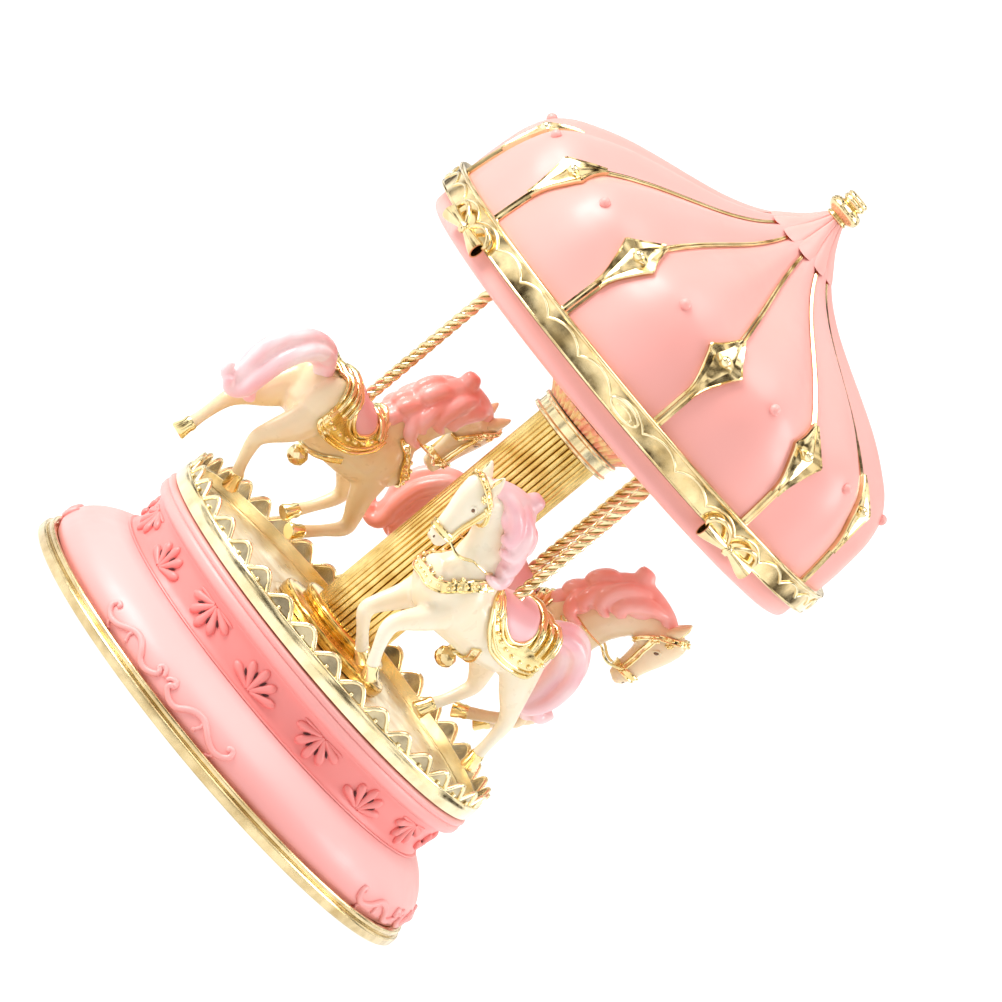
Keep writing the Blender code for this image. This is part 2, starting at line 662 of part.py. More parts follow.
def build_roof(carousel):
    pieces = [
        turned("roof_hub", ((13.1, 108.2), (12.6, 107.2), (11.2, 106.0), (11.0, 105.6),
                            (BORE, 105.6), (BORE, 108.2)), "rose_lacquer", 24),
        turned("roof_band", ((61.0, BAND_TOP), (BAND_RADIUS, 122.3), (61.2, 121.5),
                             (61.2, 117.7), (BAND_RADIUS, 117.0), (57.2, BAND_BOTTOM),
                             (57.2, 118.2), (59.2, BAND_TOP)), "gilt"),
        turned("finial", ((0.0, 184.2), (2.4, 184.2), (2.85, 183.7), (2.85, 182.2), (2.0, 181.5),
                          (3.4, 180.9), (4.15, 179.5), (3.4, 178.1), (2.4, 177.6), (2.4, 177.1),
                          (1.3, 177.1), (1.3, 172.6), (0.0, 172.6)), "gilt", 18),
        build_dome(),
        build_rib_cage(),
        build_cap(),
    ]
    ceiling = turned("roof_ceiling", (
        (59.0, BAND_BOTTOM - GAP), (59.0, 113.4), (57.4, 111.8), (14.0, CEILING_BOTTOM),
        (BORE, CEILING_BOTTOM), (BORE, CEILING_BOTTOM + CEILING_THICKNESS),
        (14.0, CEILING_BOTTOM + CEILING_THICKNESS), (55.8, 113.7), (56.8, 114.8),
        (56.8, BAND_BOTTOM - GAP)), "pink_lacquer")
    pieces.append(ceiling)
    for bearing in POLE_BEARINGS:
        x, y, _ = bearing_point(POLE_CIRCLE, bearing, 0.0)
        drill(ceiling, [(x, y, POLE_BORE, 105.0, 118.0)])
    for piece in pieces:
        piece.parent = carousel


def bow_outline():
    """Ribbon bow, 22 mm wide: two hollow loops, a knot and two short tails."""
    def mirrored(half):
        return half + [(-x, z) for x, z in reversed(half)]

    loops = [(2.0, 1.9), (5.0, 3.2), (8.6, 3.1), (10.8, 1.2), (10.6, -1.2), (8.0, -2.3),
             (4.2, -1.7), (6.6, -3.5), (4.6, -3.9), (2.0, -1.9)]
    eye = [(3.4, 0.7), (6.0, 1.9), (8.6, 1.6), (9.2, 0.2), (8.0, -0.9), (5.0, -0.7)]
    return mirrored(loops), eye, [(-x, z) for x, z in reversed(eye)]


def build_bows(carousel):
    mesh = None
    for number in range(4):
        name = "bow_%d" % (number + 1)
        if mesh is None:
            mesh = plate(name, bow_outline(), 1.8, "gilt").data
            bpy.data.objects.remove(bpy.data.objects[name], do_unlink=True)
        bow = add_part(name, mesh, "gilt")
        bearing = BOW_BEARING + 90.0 * number
        bow.rotation_euler = (0.5 * math.pi, 0.0, math.radians(bearing))
        bow.location = bearing_point(BAND_RADIUS + GAP + 0.9, bearing, BAND_BOTTOM + 0.4) * MM
        bow.parent = carousel


# ---------------------------------------------------------------- poles and horses

def hexagon_nut(name, across_flats, bore, height):
    corner = across_flats / math.sqrt(3.0)
    return plate(name, (circle(corner, 6), circle(bore, SMALL_STEPS)), height, "steel")


def build_poles(carousel):
    nut_mesh = None
    for number, bearing in enumerate(POLE_BEARINGS, start=1):
        place = bearing_point(POLE_CIRCLE, bearing, 0.0) * MM
        pole = rod("pole_%d" % number, POLE_RADIUS, 52.6, 118.0, "gilt")
        ball = turned("ball_nut_%d" % number, (
            (0.0, 52.2), (POLE_BORE, 52.2), (POLE_BORE, BALL_NUT_TOP), (1.9, BALL_NUT_TOP),
            (2.5, 54.8), (2.5, 52.6), (1.8, BALL_NUT_BOTTOM), (0.0, BALL_NUT_BOTTOM)), "gilt", 8)
        name = "pole_nut_%d" % number
        if nut_mesh is None:
            nut_mesh = hexagon_nut(name, 5.5, POLE_BORE, 2.4).data
            bpy.data.objects.remove(bpy.data.objects[name], do_unlink=True)
        nut = add_part(name, nut_mesh, "steel")
        for piece in (pole, ball, nut):
            piece.parent = carousel
            piece.location = place
        nut.location.z = 113.9 * MM
    nut = hexagon_nut("hub_nut", 10.0, BORE, 3.6)
    nut.location.z = 112.8 * MM
    nut.parent = carousel


def loft_limb(work, stations, sides=10):
    """Add a closed tube through stations of (x, y, z, half width, half depth)."""
    centres = [Vector(station[:3]) for station in stations]
    rings = []
    for i, station in enumerate(stations):
        along = (centres[min(i + 1, len(centres) - 1)] - centres[max(i - 1, 0)]).normalized()
        across = (Vector((0.0, 1.0, 0.0)) - along * along.y).normalized()
        deep = across.cross(along)
        ring = []
        for k in range(sides):
            angle = 2.0 * math.pi * k / sides
            offset = across * station[3] * math.cos(angle) + deep * station[4] * math.sin(angle)
            ring.append(work.verts.new((centres[i] + offset) * MM))
        rings.append(ring)
    faces = [work.faces.new(rings[0]), work.faces.new(rings[-1][::-1])]
    for ring, following in zip(rings, rings[1:]):
        for k in range(sides):
            n = (k + 1) % sides
            faces.append(work.faces.new((ring[k], following[k], following[n], ring[n])))
    bmesh.ops.recalc_face_normals(work, faces=faces)


HORSE_LIMBS = (
    # barrel, from rump to chest
    ((-17.0, 0, 66.5, 2.6, 3.6), (-14.5, 0, 66.6, 5.6, 6.8), (-9.0, 0, 66.0, 7.3, 8.4),
     (-2.0, 0, 64.4, 7.2, 8.0), (5.0, 0, 64.0, 7.2, 7.6), (12.0, 0, 64.8, 7.4, 8.4),
     (18.0, 0, 66.0, 6.6, 8.4), (22.5, 0, 66.6, 4.6, 6.4), (24.8, 0, 66.8, 2.2, 3.4)),
    # neck
    ((13.0, 0, 66.0, 6.4, 8.0), (15.5, 0, 72.8, 5.2, 7.8), (18.2, 0, 78.1, 4.2, 6.6),
     (22.4, 0, 82.9, 3.6, 5.6), (28.4, 0, 86.0, 3.2, 4.0)),
    # head, poll to muzzle
    ((28.6, 0, 85.4, 3.0, 3.6), (32.6, 0, 85.0, 3.4, 4.2), (33.4, 0, 81.3, 3.2, 4.2),
     (32.6, 0, 76.8, 2.5, 3.2), (31.5, 0, 73.2, 2.4, 2.7), (30.9, 0, 71.2, 1.6, 1.9)),
    # mane and forelock
    ((12.0, 0, 75.4, 2.4, 2.4), (13.0, 0, 80.8, 3.0, 3.0), (15.8, 0, 86.4, 3.0, 3.2),
     (20.4, 0, 89.6, 2.6, 2.6), (27.4, 0, 89.0, 2.4, 2.4), (33.4, 0, 88.6, 2.0, 2.0)),
    # tail
    ((-14.0, 0, 70.4, 2.2, 2.2), (-18.8, 0, 74.6, 2.7, 2.6), (-25.2, 0, 74.0, 3.0, 3.0),
     (-29.8, 0, 68.8, 3.4, 3.6), (-31.2, 0, 62.6, 3.2, 3.4), (-30.4, 0, 58.4, 2.6, 2.6),
     (-27.6, 0, 56.4, 1.7, 1.7)),
    # saddle, cantle to pommel
    ((-12.7, 0, 71.8, 4.4, 3.0), (-10.9, 0, 70.8, 7.6, 4.4), (-6.5, 0, 67.8, 8.1, 4.0),
     (-1.5, 0, 66.8, 8.2, 4.0), (3.5, 0, 68.0, 8.0, 4.6), (6.2, 0, 70.0, 6.0, 5.0),
     (7.8, 0, 71.4, 4.0, 3.6)),
    # saddle flaps
    ((-2.1, -7.2, 70.0, 1.2, 8.4), (-2.1, -7.9, 66.0, 0.9, 9.0), (-2.1, -7.4, 62.0, 0.9, 6.6)),
    ((-2.1, 7.2, 70.0, 1.2, 8.4), (-2.1, 7.9, 66.0, 0.9, 9.0), (-2.1, 7.4, 62.0, 0.9, 6.6)),
    # forelegs, shoulder to hoof
    ((17.0, -4.0, 62.0, 3.4, 4.4), (18.8, -4.6, 57.0, 2.8, 3.4), (22.0, -5.0, 51.8, 2.2, 2.5),
     (22.8, -5.0, 49.2, 2.0, 2.2), (19.0, -5.0, 46.0, 1.6, 1.7), (15.2, -5.0, 42.8, 1.6, 1.7),
     (13.2, -5.0, 41.6, 2.2, 2.2)),
    ((16.0, 4.0, 61.6, 3.4, 4.2), (19.4, 4.6, 58.0, 2.8, 3.2), (24.6, 5.0, 53.6, 2.1, 2.3),
     (24.6, 5.0, 50.8, 1.9, 2.0), (21.8, 5.0, 46.4, 1.6, 1.7), (19.0, 5.0, 43.2, 1.6, 1.7),
     (17.2, 5.0, 41.4, 2.2, 2.2)),
    # hind legs, hip to hoof
    ((-10.4, -4.0, 66.0, 3.8, 6.0), (-13.2, -4.6, 59.6, 3.2, 4.6), (-17.4, -4.8, 53.8, 2.4, 2.9),
     (-18.2, -4.8, 50.8, 2.0, 2.3), (-15.6, -4.8, 45.6, 1.6, 1.7), (-13.2, -4.8, 42.0, 1.6, 1.7),
     (-12.2, -4.8, 40.4, 2.2, 2.2)),
    ((-12.0, 4.0, 66.0, 3.8, 5.8), (-17.0, 4.6, 59.6, 3.2, 4.2), (-21.4, 4.8, 54.6, 2.4, 2.8),
     (-23.8, 4.8, 51.4, 2.0, 2.3), (-24.8, 4.8, 46.0, 1.6, 1.7), (-25.4, 4.8, 42.0, 1.6, 1.7),
     (-25.8, 4.8, 39.6, 2.2, 2.2)),
    # ears
    ((31.4, -2.0, 87.4, 1.5, 1.3), (33.0, -2.6, 91.2, 0.8, 0.8)),
    ((31.4, 2.0, 87.4, 1.5, 1.3), (33.0, 2.6, 91.2, 0.8, 0.8)),
)
HORSE_VOXEL = 0.95
HORSE_DETAIL = 0.085         # share of the fine faces that the working solid keeps


def horse_mesh():
    """One casting facing +X, bored along the Z axis for its pole."""
    work = bmesh.new()
    for stations in HORSE_LIMBS:
        loft_limb(work, stations)
    mesh = bpy.data.meshes.new("horse_rough")
    work.to_mesh(mesh)
    work.free()
    rough = add_part("horse_rough", mesh, "horse_ivory")
    skin = rough.modifiers.new("skin", "REMESH")
    skin.mode = "VOXEL"
    skin.voxel_size = HORSE_VOXEL * MM
    fewer = rough.modifiers.new("fewer", "DECIMATE")
    fewer.ratio = HORSE_DETAIL
    drill(rough, [(0.0, 0.0, POLE_BORE, 45.0, 85.0)])
    mesh = baked_mesh(rough)
    bpy.data.objects.remove(bpy.data.objects["horse_rough_drill_0"], do_unlink=True)
    return mesh


def build_horses():
    mesh = horse_mesh()
    for number, (bearing, heading) in enumerate(zip(POLE_BEARINGS, HORSE_HEADINGS), start=1):
        horse = add_part("horse_%d" % number, mesh, "horse_ivory")
        horse.location = bearing_point(POLE_CIRCLE, bearing, 0.0) * MM
        horse.rotation_euler.z = math.radians(heading)


clear_scene()
PARTS = new_collection("carousel_music_box")
CUTTERS = new_collection("cutters")
carousel_axis = add_axis("carousel_axis")
winding_axis = add_axis("winding_axis")
cylinder_axis = add_axis("cylinder_axis", (0.0, 0.0, CYLINDER_AXIS_Z))
fly_axis = add_axis("fly_axis", (WHEEL_X, FLY_Y, 0.0))
bottom_plate = build_pedestal()
build_column()
build_bedplate(bottom_plate)
build_spring_drive(carousel_axis)
build_key(winding_axis)
build_cylinder(cylinder_axis)
build_bridges()
build_comb()
build_governor(fly_axis)
build_roof(carousel_axis)
build_bows(carousel_axis)
build_poles(carousel_axis)
build_horses()
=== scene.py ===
"""Looks of the carousel music box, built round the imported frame. Lengths are in millimetres."""
import math

import bmesh
import bpy
from mathutils import Matrix, Vector
from mathutils.bvhtree import BVHTree


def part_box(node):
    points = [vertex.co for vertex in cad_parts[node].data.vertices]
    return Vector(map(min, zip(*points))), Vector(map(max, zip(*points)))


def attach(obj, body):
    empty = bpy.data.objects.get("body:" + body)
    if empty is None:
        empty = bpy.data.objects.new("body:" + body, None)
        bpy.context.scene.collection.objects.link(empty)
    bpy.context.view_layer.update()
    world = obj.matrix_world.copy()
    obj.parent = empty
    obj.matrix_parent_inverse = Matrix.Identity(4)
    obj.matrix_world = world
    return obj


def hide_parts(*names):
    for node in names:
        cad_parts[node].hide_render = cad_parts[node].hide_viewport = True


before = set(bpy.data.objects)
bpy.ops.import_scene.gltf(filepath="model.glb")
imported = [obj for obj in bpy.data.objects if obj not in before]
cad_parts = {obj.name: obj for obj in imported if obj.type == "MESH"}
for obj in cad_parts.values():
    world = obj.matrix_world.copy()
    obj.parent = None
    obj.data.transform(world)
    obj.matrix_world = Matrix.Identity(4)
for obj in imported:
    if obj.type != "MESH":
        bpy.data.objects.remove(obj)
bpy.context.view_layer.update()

MM = 0.001
FINE = 192                   # facets round the large turned pieces
SIDES = (1.0, -1.0)          # signs of the two mirrored halves of a symmetrical part
QUARTERS = 4                 # scrolls, band loops and bows repeat four times round the box
QUARTER = 360.0 / QUARTERS   # degrees between them
BORE = 6.6                   # radius of the bore down the column and through the deck
SHAFT_BORE = 3.4             # radius of the bore through the turning hub and ceiling


def height(node, end):
    """Lowest (0) or highest (1) point of a CAD node, in millimetres."""
    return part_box(node)[end].z / MM


def reach(node):
    """Largest radius of a CAD node round the main axis, in millimetres."""
    low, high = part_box(node)
    return max(abs(low.x), abs(high.x)) / MM


# ---------------------------------------------------------------- geometry helpers

def polar(radius, bearing, z):
    """A point at a radius and bearing (degrees from -Y towards +X)."""
    angle = math.radians(bearing)
    return Vector((radius * math.sin(angle), -radius * math.cos(angle), z))


def spline(points, per_span=6):
    """Catmull-Rom points through a list of tuples of any length."""
    dense = []
    last = len(points) - 1
    for i in range(last):
        p0 = points[max(i - 1, 0)]
        p1 = points[i]
        p2 = points[i + 1]
        p3 = points[min(i + 2, last)]
        for k in range(per_span):
            t = k / per_span
            dense.append(tuple(
                0.5 * (2 * b + (c - a) * t + (2 * a - 5 * b + 4 * c - d) * t * t
                       + (3 * b - a - 3 * c + d) * t ** 3)
                for a, b, c, d in zip(p0, p1, p2, p3)))
    dense.append(tuple(points[-1]))
    return dense


def mend(mesh, weld=0.0):
    """Turn the faces of a mesh outwards, after joining points closer than weld."""
    work = bmesh.new()
    work.from_mesh(mesh)
    if weld:
        bmesh.ops.remove_doubles(work, verts=work.verts, dist=weld)
    bmesh.ops.recalc_face_normals(work, faces=work.faces)
    work.to_mesh(mesh)
    work.free()


class Shape:
    """Collects vertices and faces in millimetres, then becomes one object."""

    def __init__(self):
        self.verts = []
        self.faces = []

    def grid(self, rows, close_rows=False, close_columns=False):
        """Join rows of points into quads."""
        start = len(self.verts)
        width = len(rows[0])
        for row in rows:
            self.verts.extend(Vector(p) for p in row)
        row_count = len(rows)
        for i in range(row_count if close_rows else row_count - 1):
            below = start + i * width
            above = start + ((i + 1) % row_count) * width
            for j in range(width if close_columns else width - 1):
                k = (j + 1) % width
                self.faces.append((below + j, below + k, above + k, above + j))
        return start

    def cap(self, start, count, flip=False):
        """Close a ring of vertices with one face."""
        ring = list(range(start, start + count))
        self.faces.append(ring[::-1] if flip else ring)

    def tube(self, points, radii, sides=8, closed=False, flat=1.0, up=None):
        """A tube along points; flat squashes it along the up direction at each point."""
        points = [Vector(p) for p in points]
        count = len(points)
        if not isinstance(radii, (list, tuple)):
            radii = [radii] * count
        if not isinstance(up, (list, tuple)):
            up = [up] * count
        rows = []
        previous = None
        for i, point in enumerate(points):
            after = points[(i + 1) % count] if closed or i + 1 < count else point
            before = points[i - 1] if closed or i else point
            along = (after - before).normalized()
            guide = up[i] or previous or (Vector((0, 0, 1)) if abs(along.z) < 0.9 else Vector((1, 0, 0)))
            side = along.cross(guide).normalized()
            lift = side.cross(along).normalized()
            previous = lift
            ring = []
            for k in range(sides):
                angle = 2 * math.pi * k / sides
                ring.append(point + side * radii[i] * math.cos(angle)
                            + lift * radii[i] * flat * math.sin(angle))
            rows.append(ring)
        start = self.grid(rows, close_rows=closed, close_columns=True)
        if not closed:
            self.cap(start, sides, flip=True)
            self.cap(start + (count - 1) * sides, sides)

    def ball(self, centre, radii, rotation=None, rings=8, sides=12):
        """An ellipsoid, or a sphere where radii is one number."""
        rotation = rotation or Matrix.Identity(3)
        if not isinstance(radii, (list, tuple)):
            radii = (radii, radii, radii)
        rows = []
        for i in range(1, rings):
            polar_angle = math.pi * i / rings
            ring = []
            for k in range(sides):
                angle = 2 * math.pi * k / sides
                local = Vector((radii[0] * math.sin(polar_angle) * math.cos(angle),
                                radii[1] * math.sin(polar_angle) * math.sin(angle),
                                radii[2] * math.cos(polar_angle)))
                ring.append(Vector(centre) + rotation @ local)
            rows.append(ring)
        start = self.grid(rows, close_columns=True)
        for ring_start, tip in ((start, radii[2]), (start + (rings - 2) * sides, -radii[2])):
            self.verts.append(Vector(centre) + rotation @ Vector((0, 0, tip)))
            peak = len(self.verts) - 1
            for k in range(sides):
                a = ring_start + k
                b = ring_start + (k + 1) % sides
                self.faces.append((a, b, peak))

    def piece(self, name, material, body, slot, stands_for=(), crease=40.0):
        """Make the object, fix its normals, and ride it on its body."""
        mesh = bpy.data.meshes.new(name)
        mesh.from_pydata([v * MM for v in self.verts], [], self.faces)
        mend(mesh)
        return dress(bpy.data.objects.new(name, mesh), material, body, stands_for, crease)


def dress(obj, material, body, stands_for=(), crease=40.0):
    """Give an object its material, smooth shading, body and the CAD nodes it replaces."""
    if obj.name not in bpy.context.scene.collection.objects:
        bpy.context.scene.collection.objects.link(obj)
    obj.data.materials.clear()
    obj.data.materials.append(material)
    obj.data.shade_smooth()
    obj.data.set_sharp_from_angle(angle=math.radians(crease))
    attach(obj, body)
    if stands_for:
        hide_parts(*stands_for)
    return obj


def lathe(name, profile, material, body, slot, stands_for=(), steps=FINE, edge=0.12,
          wobble=None, crease=40.0):
    """Turn a profile of (radius, height) about the main axis.

    A profile that starts at radius 0 is open, any other closes on itself. wobble(bearing, index)
    may return a change of radius for a profile point.
    """
    on_axis = profile[0][0] == 0.0
    shape = Shape()
    rows = []
    for i in range(steps):
        bearing = 360.0 * i / steps
        row = []
        for index, (radius, z) in enumerate(profile):
            row.append(polar(radius + (wobble(bearing, index) if wobble else 0.0), bearing, z))
        rows.append(row)
    shape.grid(rows, close_rows=True, close_columns=not on_axis)
    obj = shape.piece(name, material, body, slot, stands_for, crease)
    if on_axis:
        mend(obj.data, 0.000001)
        obj.data.set_sharp_from_angle(angle=math.radians(crease))
    if edge:
        soften(obj, edge)
    return obj


def soften(obj, width, angle=30.0):
    """Round the edges of a piece sharper than an angle by a width in millimetres."""
    bevel = obj.modifiers.new("soft_edges", "BEVEL")
    bevel.width = width * MM
    bevel.segments = 2
    bevel.limit_method = "ANGLE"
    bevel.angle_limit = math.radians(angle)
    bevel.harden_normals = False


# ---------------------------------------------------------------- materials

def add_node(tree, kind, settings=None, **inputs):
    """A shader node with its inputs set to plain values, or linked where a socket is given."""
    node = tree.nodes.new("ShaderNode" + kind)
    for name, value in (settings or {}).items():
        setattr(node, name, value)
    for name, value in inputs.items():
        socket = node.inputs[name.replace("_", " ")]
        if isinstance(value, bpy.types.NodeSocket):
            tree.links.new(value, socket)
        else:
            socket.default_value = value
    return node


def add_ramp(tree, factor, stops):
    """Colours or greys by factor; stops are (position, value)."""
    node = add_node(tree, "ValToRGB", Fac=factor)
    elements = node.color_ramp.elements
    while len(elements) < len(stops):
        elements.new(0.5)
    for element, (position, value) in zip(elements, stops):
        element.position = position
        element.color = (*value, 1.0) if isinstance(value, tuple) else (value, value, value, 1.0)
    return node.outputs["Color"]


class Finish:
    """A Principled material with procedural variation added step by step."""

    def __init__(self, name, colour, roughness, **sockets):
        self.material = bpy.data.materials.new(name)
        self.material.use_nodes = True
        self.tree = self.material.node_tree
        self.shader = self.tree.nodes["Principled BSDF"]
        self.set(Base_Color=(*colour, 1.0), Roughness=roughness, Coat_Roughness=0.08)
        self.set(**sockets)
        self.place = add_node(self.tree, "TexCoord").outputs["Object"]
        self.height = None

    def set(self, **sockets):
        """Set inputs of the shader to plain values, or link them where a socket is given."""
        for name, value in sockets.items():
            socket = self.shader.inputs[name.replace("_", " ")]
            if isinstance(value, bpy.types.NodeSocket):
                self.tree.links.new(value, socket)
            else:
                socket.default_value = value

    def noise(self, scale, detail=3.0, stretch=(1.0, 1.0, 1.0)):
        """Noise over the object, with its scale in features per metre."""
        mapping = add_node(self.tree, "Mapping", Vector=self.place, Scale=stretch)
        texture = add_node(self.tree, "TexNoise", Vector=mapping.outputs["Vector"], Scale=scale,
                           Detail=detail)
        return texture.outputs["Fac"]

    def colour(self, factor, stops):
        """Base colour by factor."""
        self.set(Base_Color=add_ramp(self.tree, factor, stops))

    def roughness(self, factor, stops):
        """Roughness by factor."""
        self.set(Roughness=add_ramp(self.tree, factor, stops))

    def span(self, value, low, high):
        """A factor that runs from 0 to 1 as a length goes from low to high, in millimetres."""
        scale = add_node(self.tree, "MapRange", Value=value, From_Min=low * MM, From_Max=high * MM)
        return scale.outputs["Result"]

    def up_axis(self, low, high):
        """A factor that runs from 0 at height low to 1 at height high."""
        split = add_node(self.tree, "SeparateXYZ", Vector=self.place)
        return self.span(split.outputs["Z"], low, high)

    def vector_math(self, operation, first, second=(0.0, 0.0, 0.0)):
        """A vector operation on a socket and a fixed vector."""
        node = add_node(self.tree, "VectorMath", {"operation": operation})
        self.tree.links.new(first, node.inputs[0])
        node.inputs[1].default_value = second
        return node.outputs["Value" if operation == "LENGTH" else "Vector"]

    def from_axis(self, centre, inner, outer):
        """A factor that runs from 0 at a radius of inner to 1 at outer round an upright axis."""
        offset = self.vector_math("SUBTRACT", self.place, (centre[0] * MM, centre[1] * MM, 0.0))
        flat = self.vector_math("MULTIPLY", offset, (1.0, 1.0, 0.0))
        return self.span(self.vector_math("LENGTH", flat), inner, outer)

    def mixed(self, factor, low, high):
        """Base colour from a plain colour low to a colour socket high."""
        mix = add_node(self.tree, "Mix", {"data_type": "RGBA"}, Factor=factor, A=(*low, 1.0), B=high)
        self.set(Base_Color=mix.outputs["Result"])

    def relief(self, factor, depth, strength=1.0):
        """Bump whose full depth is given in millimetres."""
        bump = add_node(self.tree, "Bump", Strength=strength, Distance=depth * MM, Height=factor)
        if self.height is not None:
            self.tree.links.new(self.height, bump.inputs["Normal"])
        self.height = bump.outputs["Normal"]
        self.set(Normal=self.height)


def lacquer(name, dark, light, roughness=0.42, coat=0.35):
    """Satin paint over cast resin: soft tone variation and a faint orange peel."""
    finish = Finish(name, light, roughness, Coat_Weight=coat, Coat_Roughness=roughness)
    finish.colour(finish.noise(35.0, 2.0), ((0.35, dark), (0.65, light)))
    finish.roughness(finish.noise(240.0), ((0.3, roughness - 0.05), (0.7, roughness + 0.07)))
    finish.relief(finish.noise(900.0, 2.0), 0.02, 0.35)
    return finish.material


def gold(name, dark, light, roughness=0.13, depth=0.03):
    """Gold plating over a casting: slight tarnish, uneven polish and casting ripple."""
    finish = Finish(name, light, roughness, Metallic=1.0)
    finish.colour(finish.noise(160.0), ((0.32, dark), (0.6, light)))
    finish.roughness(finish.noise(420.0), ((0.3, roughness - 0.04), (0.75, roughness + 0.10)))
    finish.relief(finish.noise(260.0, 2.0), depth, 0.5)
    return finish.material


def groove_shaded_gold(name, dark, light, inner, outer, centre=(0.0, 0.0)):
    """Gold plating with painted shade in its grooves, nearer the axis than outer (millimetres)."""
    finish = Finish(name, light, 0.15, Metallic=1.0)
    plated = add_ramp(finish.tree, finish.noise(160.0), ((0.32, dark), (0.6, light)))
    # Painted shade: dark brown nearer the axis than inner, fading to the plated gold at outer.
    finish.mixed(finish.from_axis(centre, inner, outer), (0.10, 0.05, 0.015), plated)
    finish.roughness(finish.noise(420.0), ((0.3, 0.11), (0.75, 0.25)))
    finish.relief(finish.noise(260.0, 2.0), 0.03, 0.5)
    return finish.material


def metal(name, dark, light, roughness, scratches=(1.0, 1.0, 1.0)):
    """Plain steel or brass with brushed lines."""
    finish = Finish(name, light, roughness, Metallic=1.0)
    brushed = finish.noise(1500.0, 4.0, scratches)
    finish.colour(finish.noise(120.0), ((0.3, dark), (0.7, light)))
    finish.roughness(brushed, ((0.3, roughness - 0.08), (0.7, roughness + 0.1)))
    finish.relief(brushed, 0.01, 0.3)
    return finish.material


PINK = lacquer("pink_dome", (0.94, 0.395, 0.35), (0.95, 0.425, 0.385))
CAP_PINK = lacquer("pink_cap", (0.91, 0.40, 0.355), (0.94, 0.45, 0.40))
SLIT_SHADOW = lacquer("slit_shadow", (0.05, 0.010, 0.010), (0.09, 0.018, 0.016), 0.7, 0.0)
GOLD = gold("gilt", (0.66, 0.49, 0.23), (0.88, 0.72, 0.42))
PALE_GOLD = gold("gilt_pale", (0.80, 0.66, 0.38), (0.95, 0.84, 0.56), 0.16)
RICH_GOLD = gold("gilt_rich", (0.62, 0.36, 0.07), (0.93, 0.64, 0.20), 0.15)
# Painted shade: a darker copy of the gilt, used on the rim ring.
RIM_SHADED_GOLD = gold("gilt_rim_shaded", (0.56, 0.42, 0.20), (0.80, 0.66, 0.38), 0.20)
# Painted shade: a darker copy of the gilt for the fence wall, standing for the dark reflection inside
# the arches.
WALL_SHADED_GOLD = gold("gilt_wall_shaded", (0.30, 0.24, 0.15), (0.58, 0.49, 0.31), 0.20)
FLOOR_GOLD = gold("gilt_floor", (0.86, 0.68, 0.40), (0.97, 0.86, 0.62), 0.30, 0.05)
STEEL = metal("steel_bright", (0.50, 0.50, 0.52), (0.66, 0.66, 0.68), 0.30, (1.0, 1.0, 8.0))
BRASS = metal("brass_plain", (0.60, 0.43, 0.17), (0.80, 0.62, 0.30), 0.28, (1.0, 1.0, 6.0))


def pedestal_paint_and_shade():
    """Pale pink foot, deep rose band and mid pink lip, blended by height, with painted light on the top
    of the foot and painted shade towards its bottom.
    """
    finish = Finish("pink_pedestal", (0.95, 0.5, 0.5), 0.42, Coat_Weight=0.35, Coat_Roughness=0.42)
    heights = finish.up_axis(0.0, 34.0)
    # Painted light and shade: the foot is lightest near its top (0.44) and darker towards its bottom
    # (0.10); the rose band (0.50 to 0.74) and the lip are paint tones.
    stops = ((0.10, (0.93, 0.33, 0.30)), (0.30, (0.94, 0.44, 0.42)), (0.44, (0.95, 0.53, 0.51)),
             (0.485, (0.94, 0.46, 0.44)), (0.50, (0.91, 0.26, 0.24)), (0.74, (0.92, 0.28, 0.255)),
             (0.765, (0.93, 0.37, 0.345)), (0.90, (0.94, 0.42, 0.39)))
    finish.colour(heights, stops)
    finish.roughness(finish.noise(240.0), ((0.3, 0.36), (0.7, 0.50)))
    finish.relief(finish.noise(900.0, 2.0), 0.02, 0.35)
    return finish.material


def hub_paint():
    """Salmon lacquer rubbed through to gold on the flutes."""
    finish = Finish("salmon_gilt", (0.93, 0.42, 0.26), 0.25, Coat_Weight=0.3)
    spots = finish.noise(500.0, 3.0)
    finish.colour(spots, ((0.42, (0.95, 0.42, 0.26)), (0.58, (0.95, 0.70, 0.32))))
    finish.relief(spots, 0.05, 0.5)
    return finish.material


def enamel(name, dark, light, roughness=0.30):
    """Thin glossy enamel that gathers darker in places."""
    finish = Finish(name, light, roughness, Coat_Weight=0.25)
    finish.colour(finish.noise(70.0, 3.0), ((0.38, dark), (0.62, light)))
    finish.roughness(finish.noise(300.0), ((0.3, roughness - 0.05), (0.7, roughness + 0.08)))
    finish.relief(finish.noise(420.0, 2.0), 0.03, 0.35)
    finish.set(Subsurface_Weight=0.12, Subsurface_Scale=2.0 * MM, Subsurface_Radius=(1.0, 0.5, 0.3))
    return finish.material


def hair(name, dark, light, stretch):
    """Painted locks: pale streaks running with the hair, painted tone that also stands for painted
    highlights.
    """
    finish = Finish(name, light, 0.30, Coat_Weight=0.25)
    # Pale streaks: painted tone and painted highlight together.
    finish.colour(finish.noise(130.0, 2.0, stretch), ((0.40, dark), (0.62, light)))
    finish.relief(finish.noise(700.0, 2.0, stretch), 0.06, 0.5)
    return finish.material


PEDESTAL = pedestal_paint_and_shade()
HUB = hub_paint()
TACK_GOLD = gold("gilt_tack", (0.80, 0.60, 0.26), (0.94, 0.80, 0.46), 0.14, 0.05)


# ---------------------------------------------------------------- pedestal

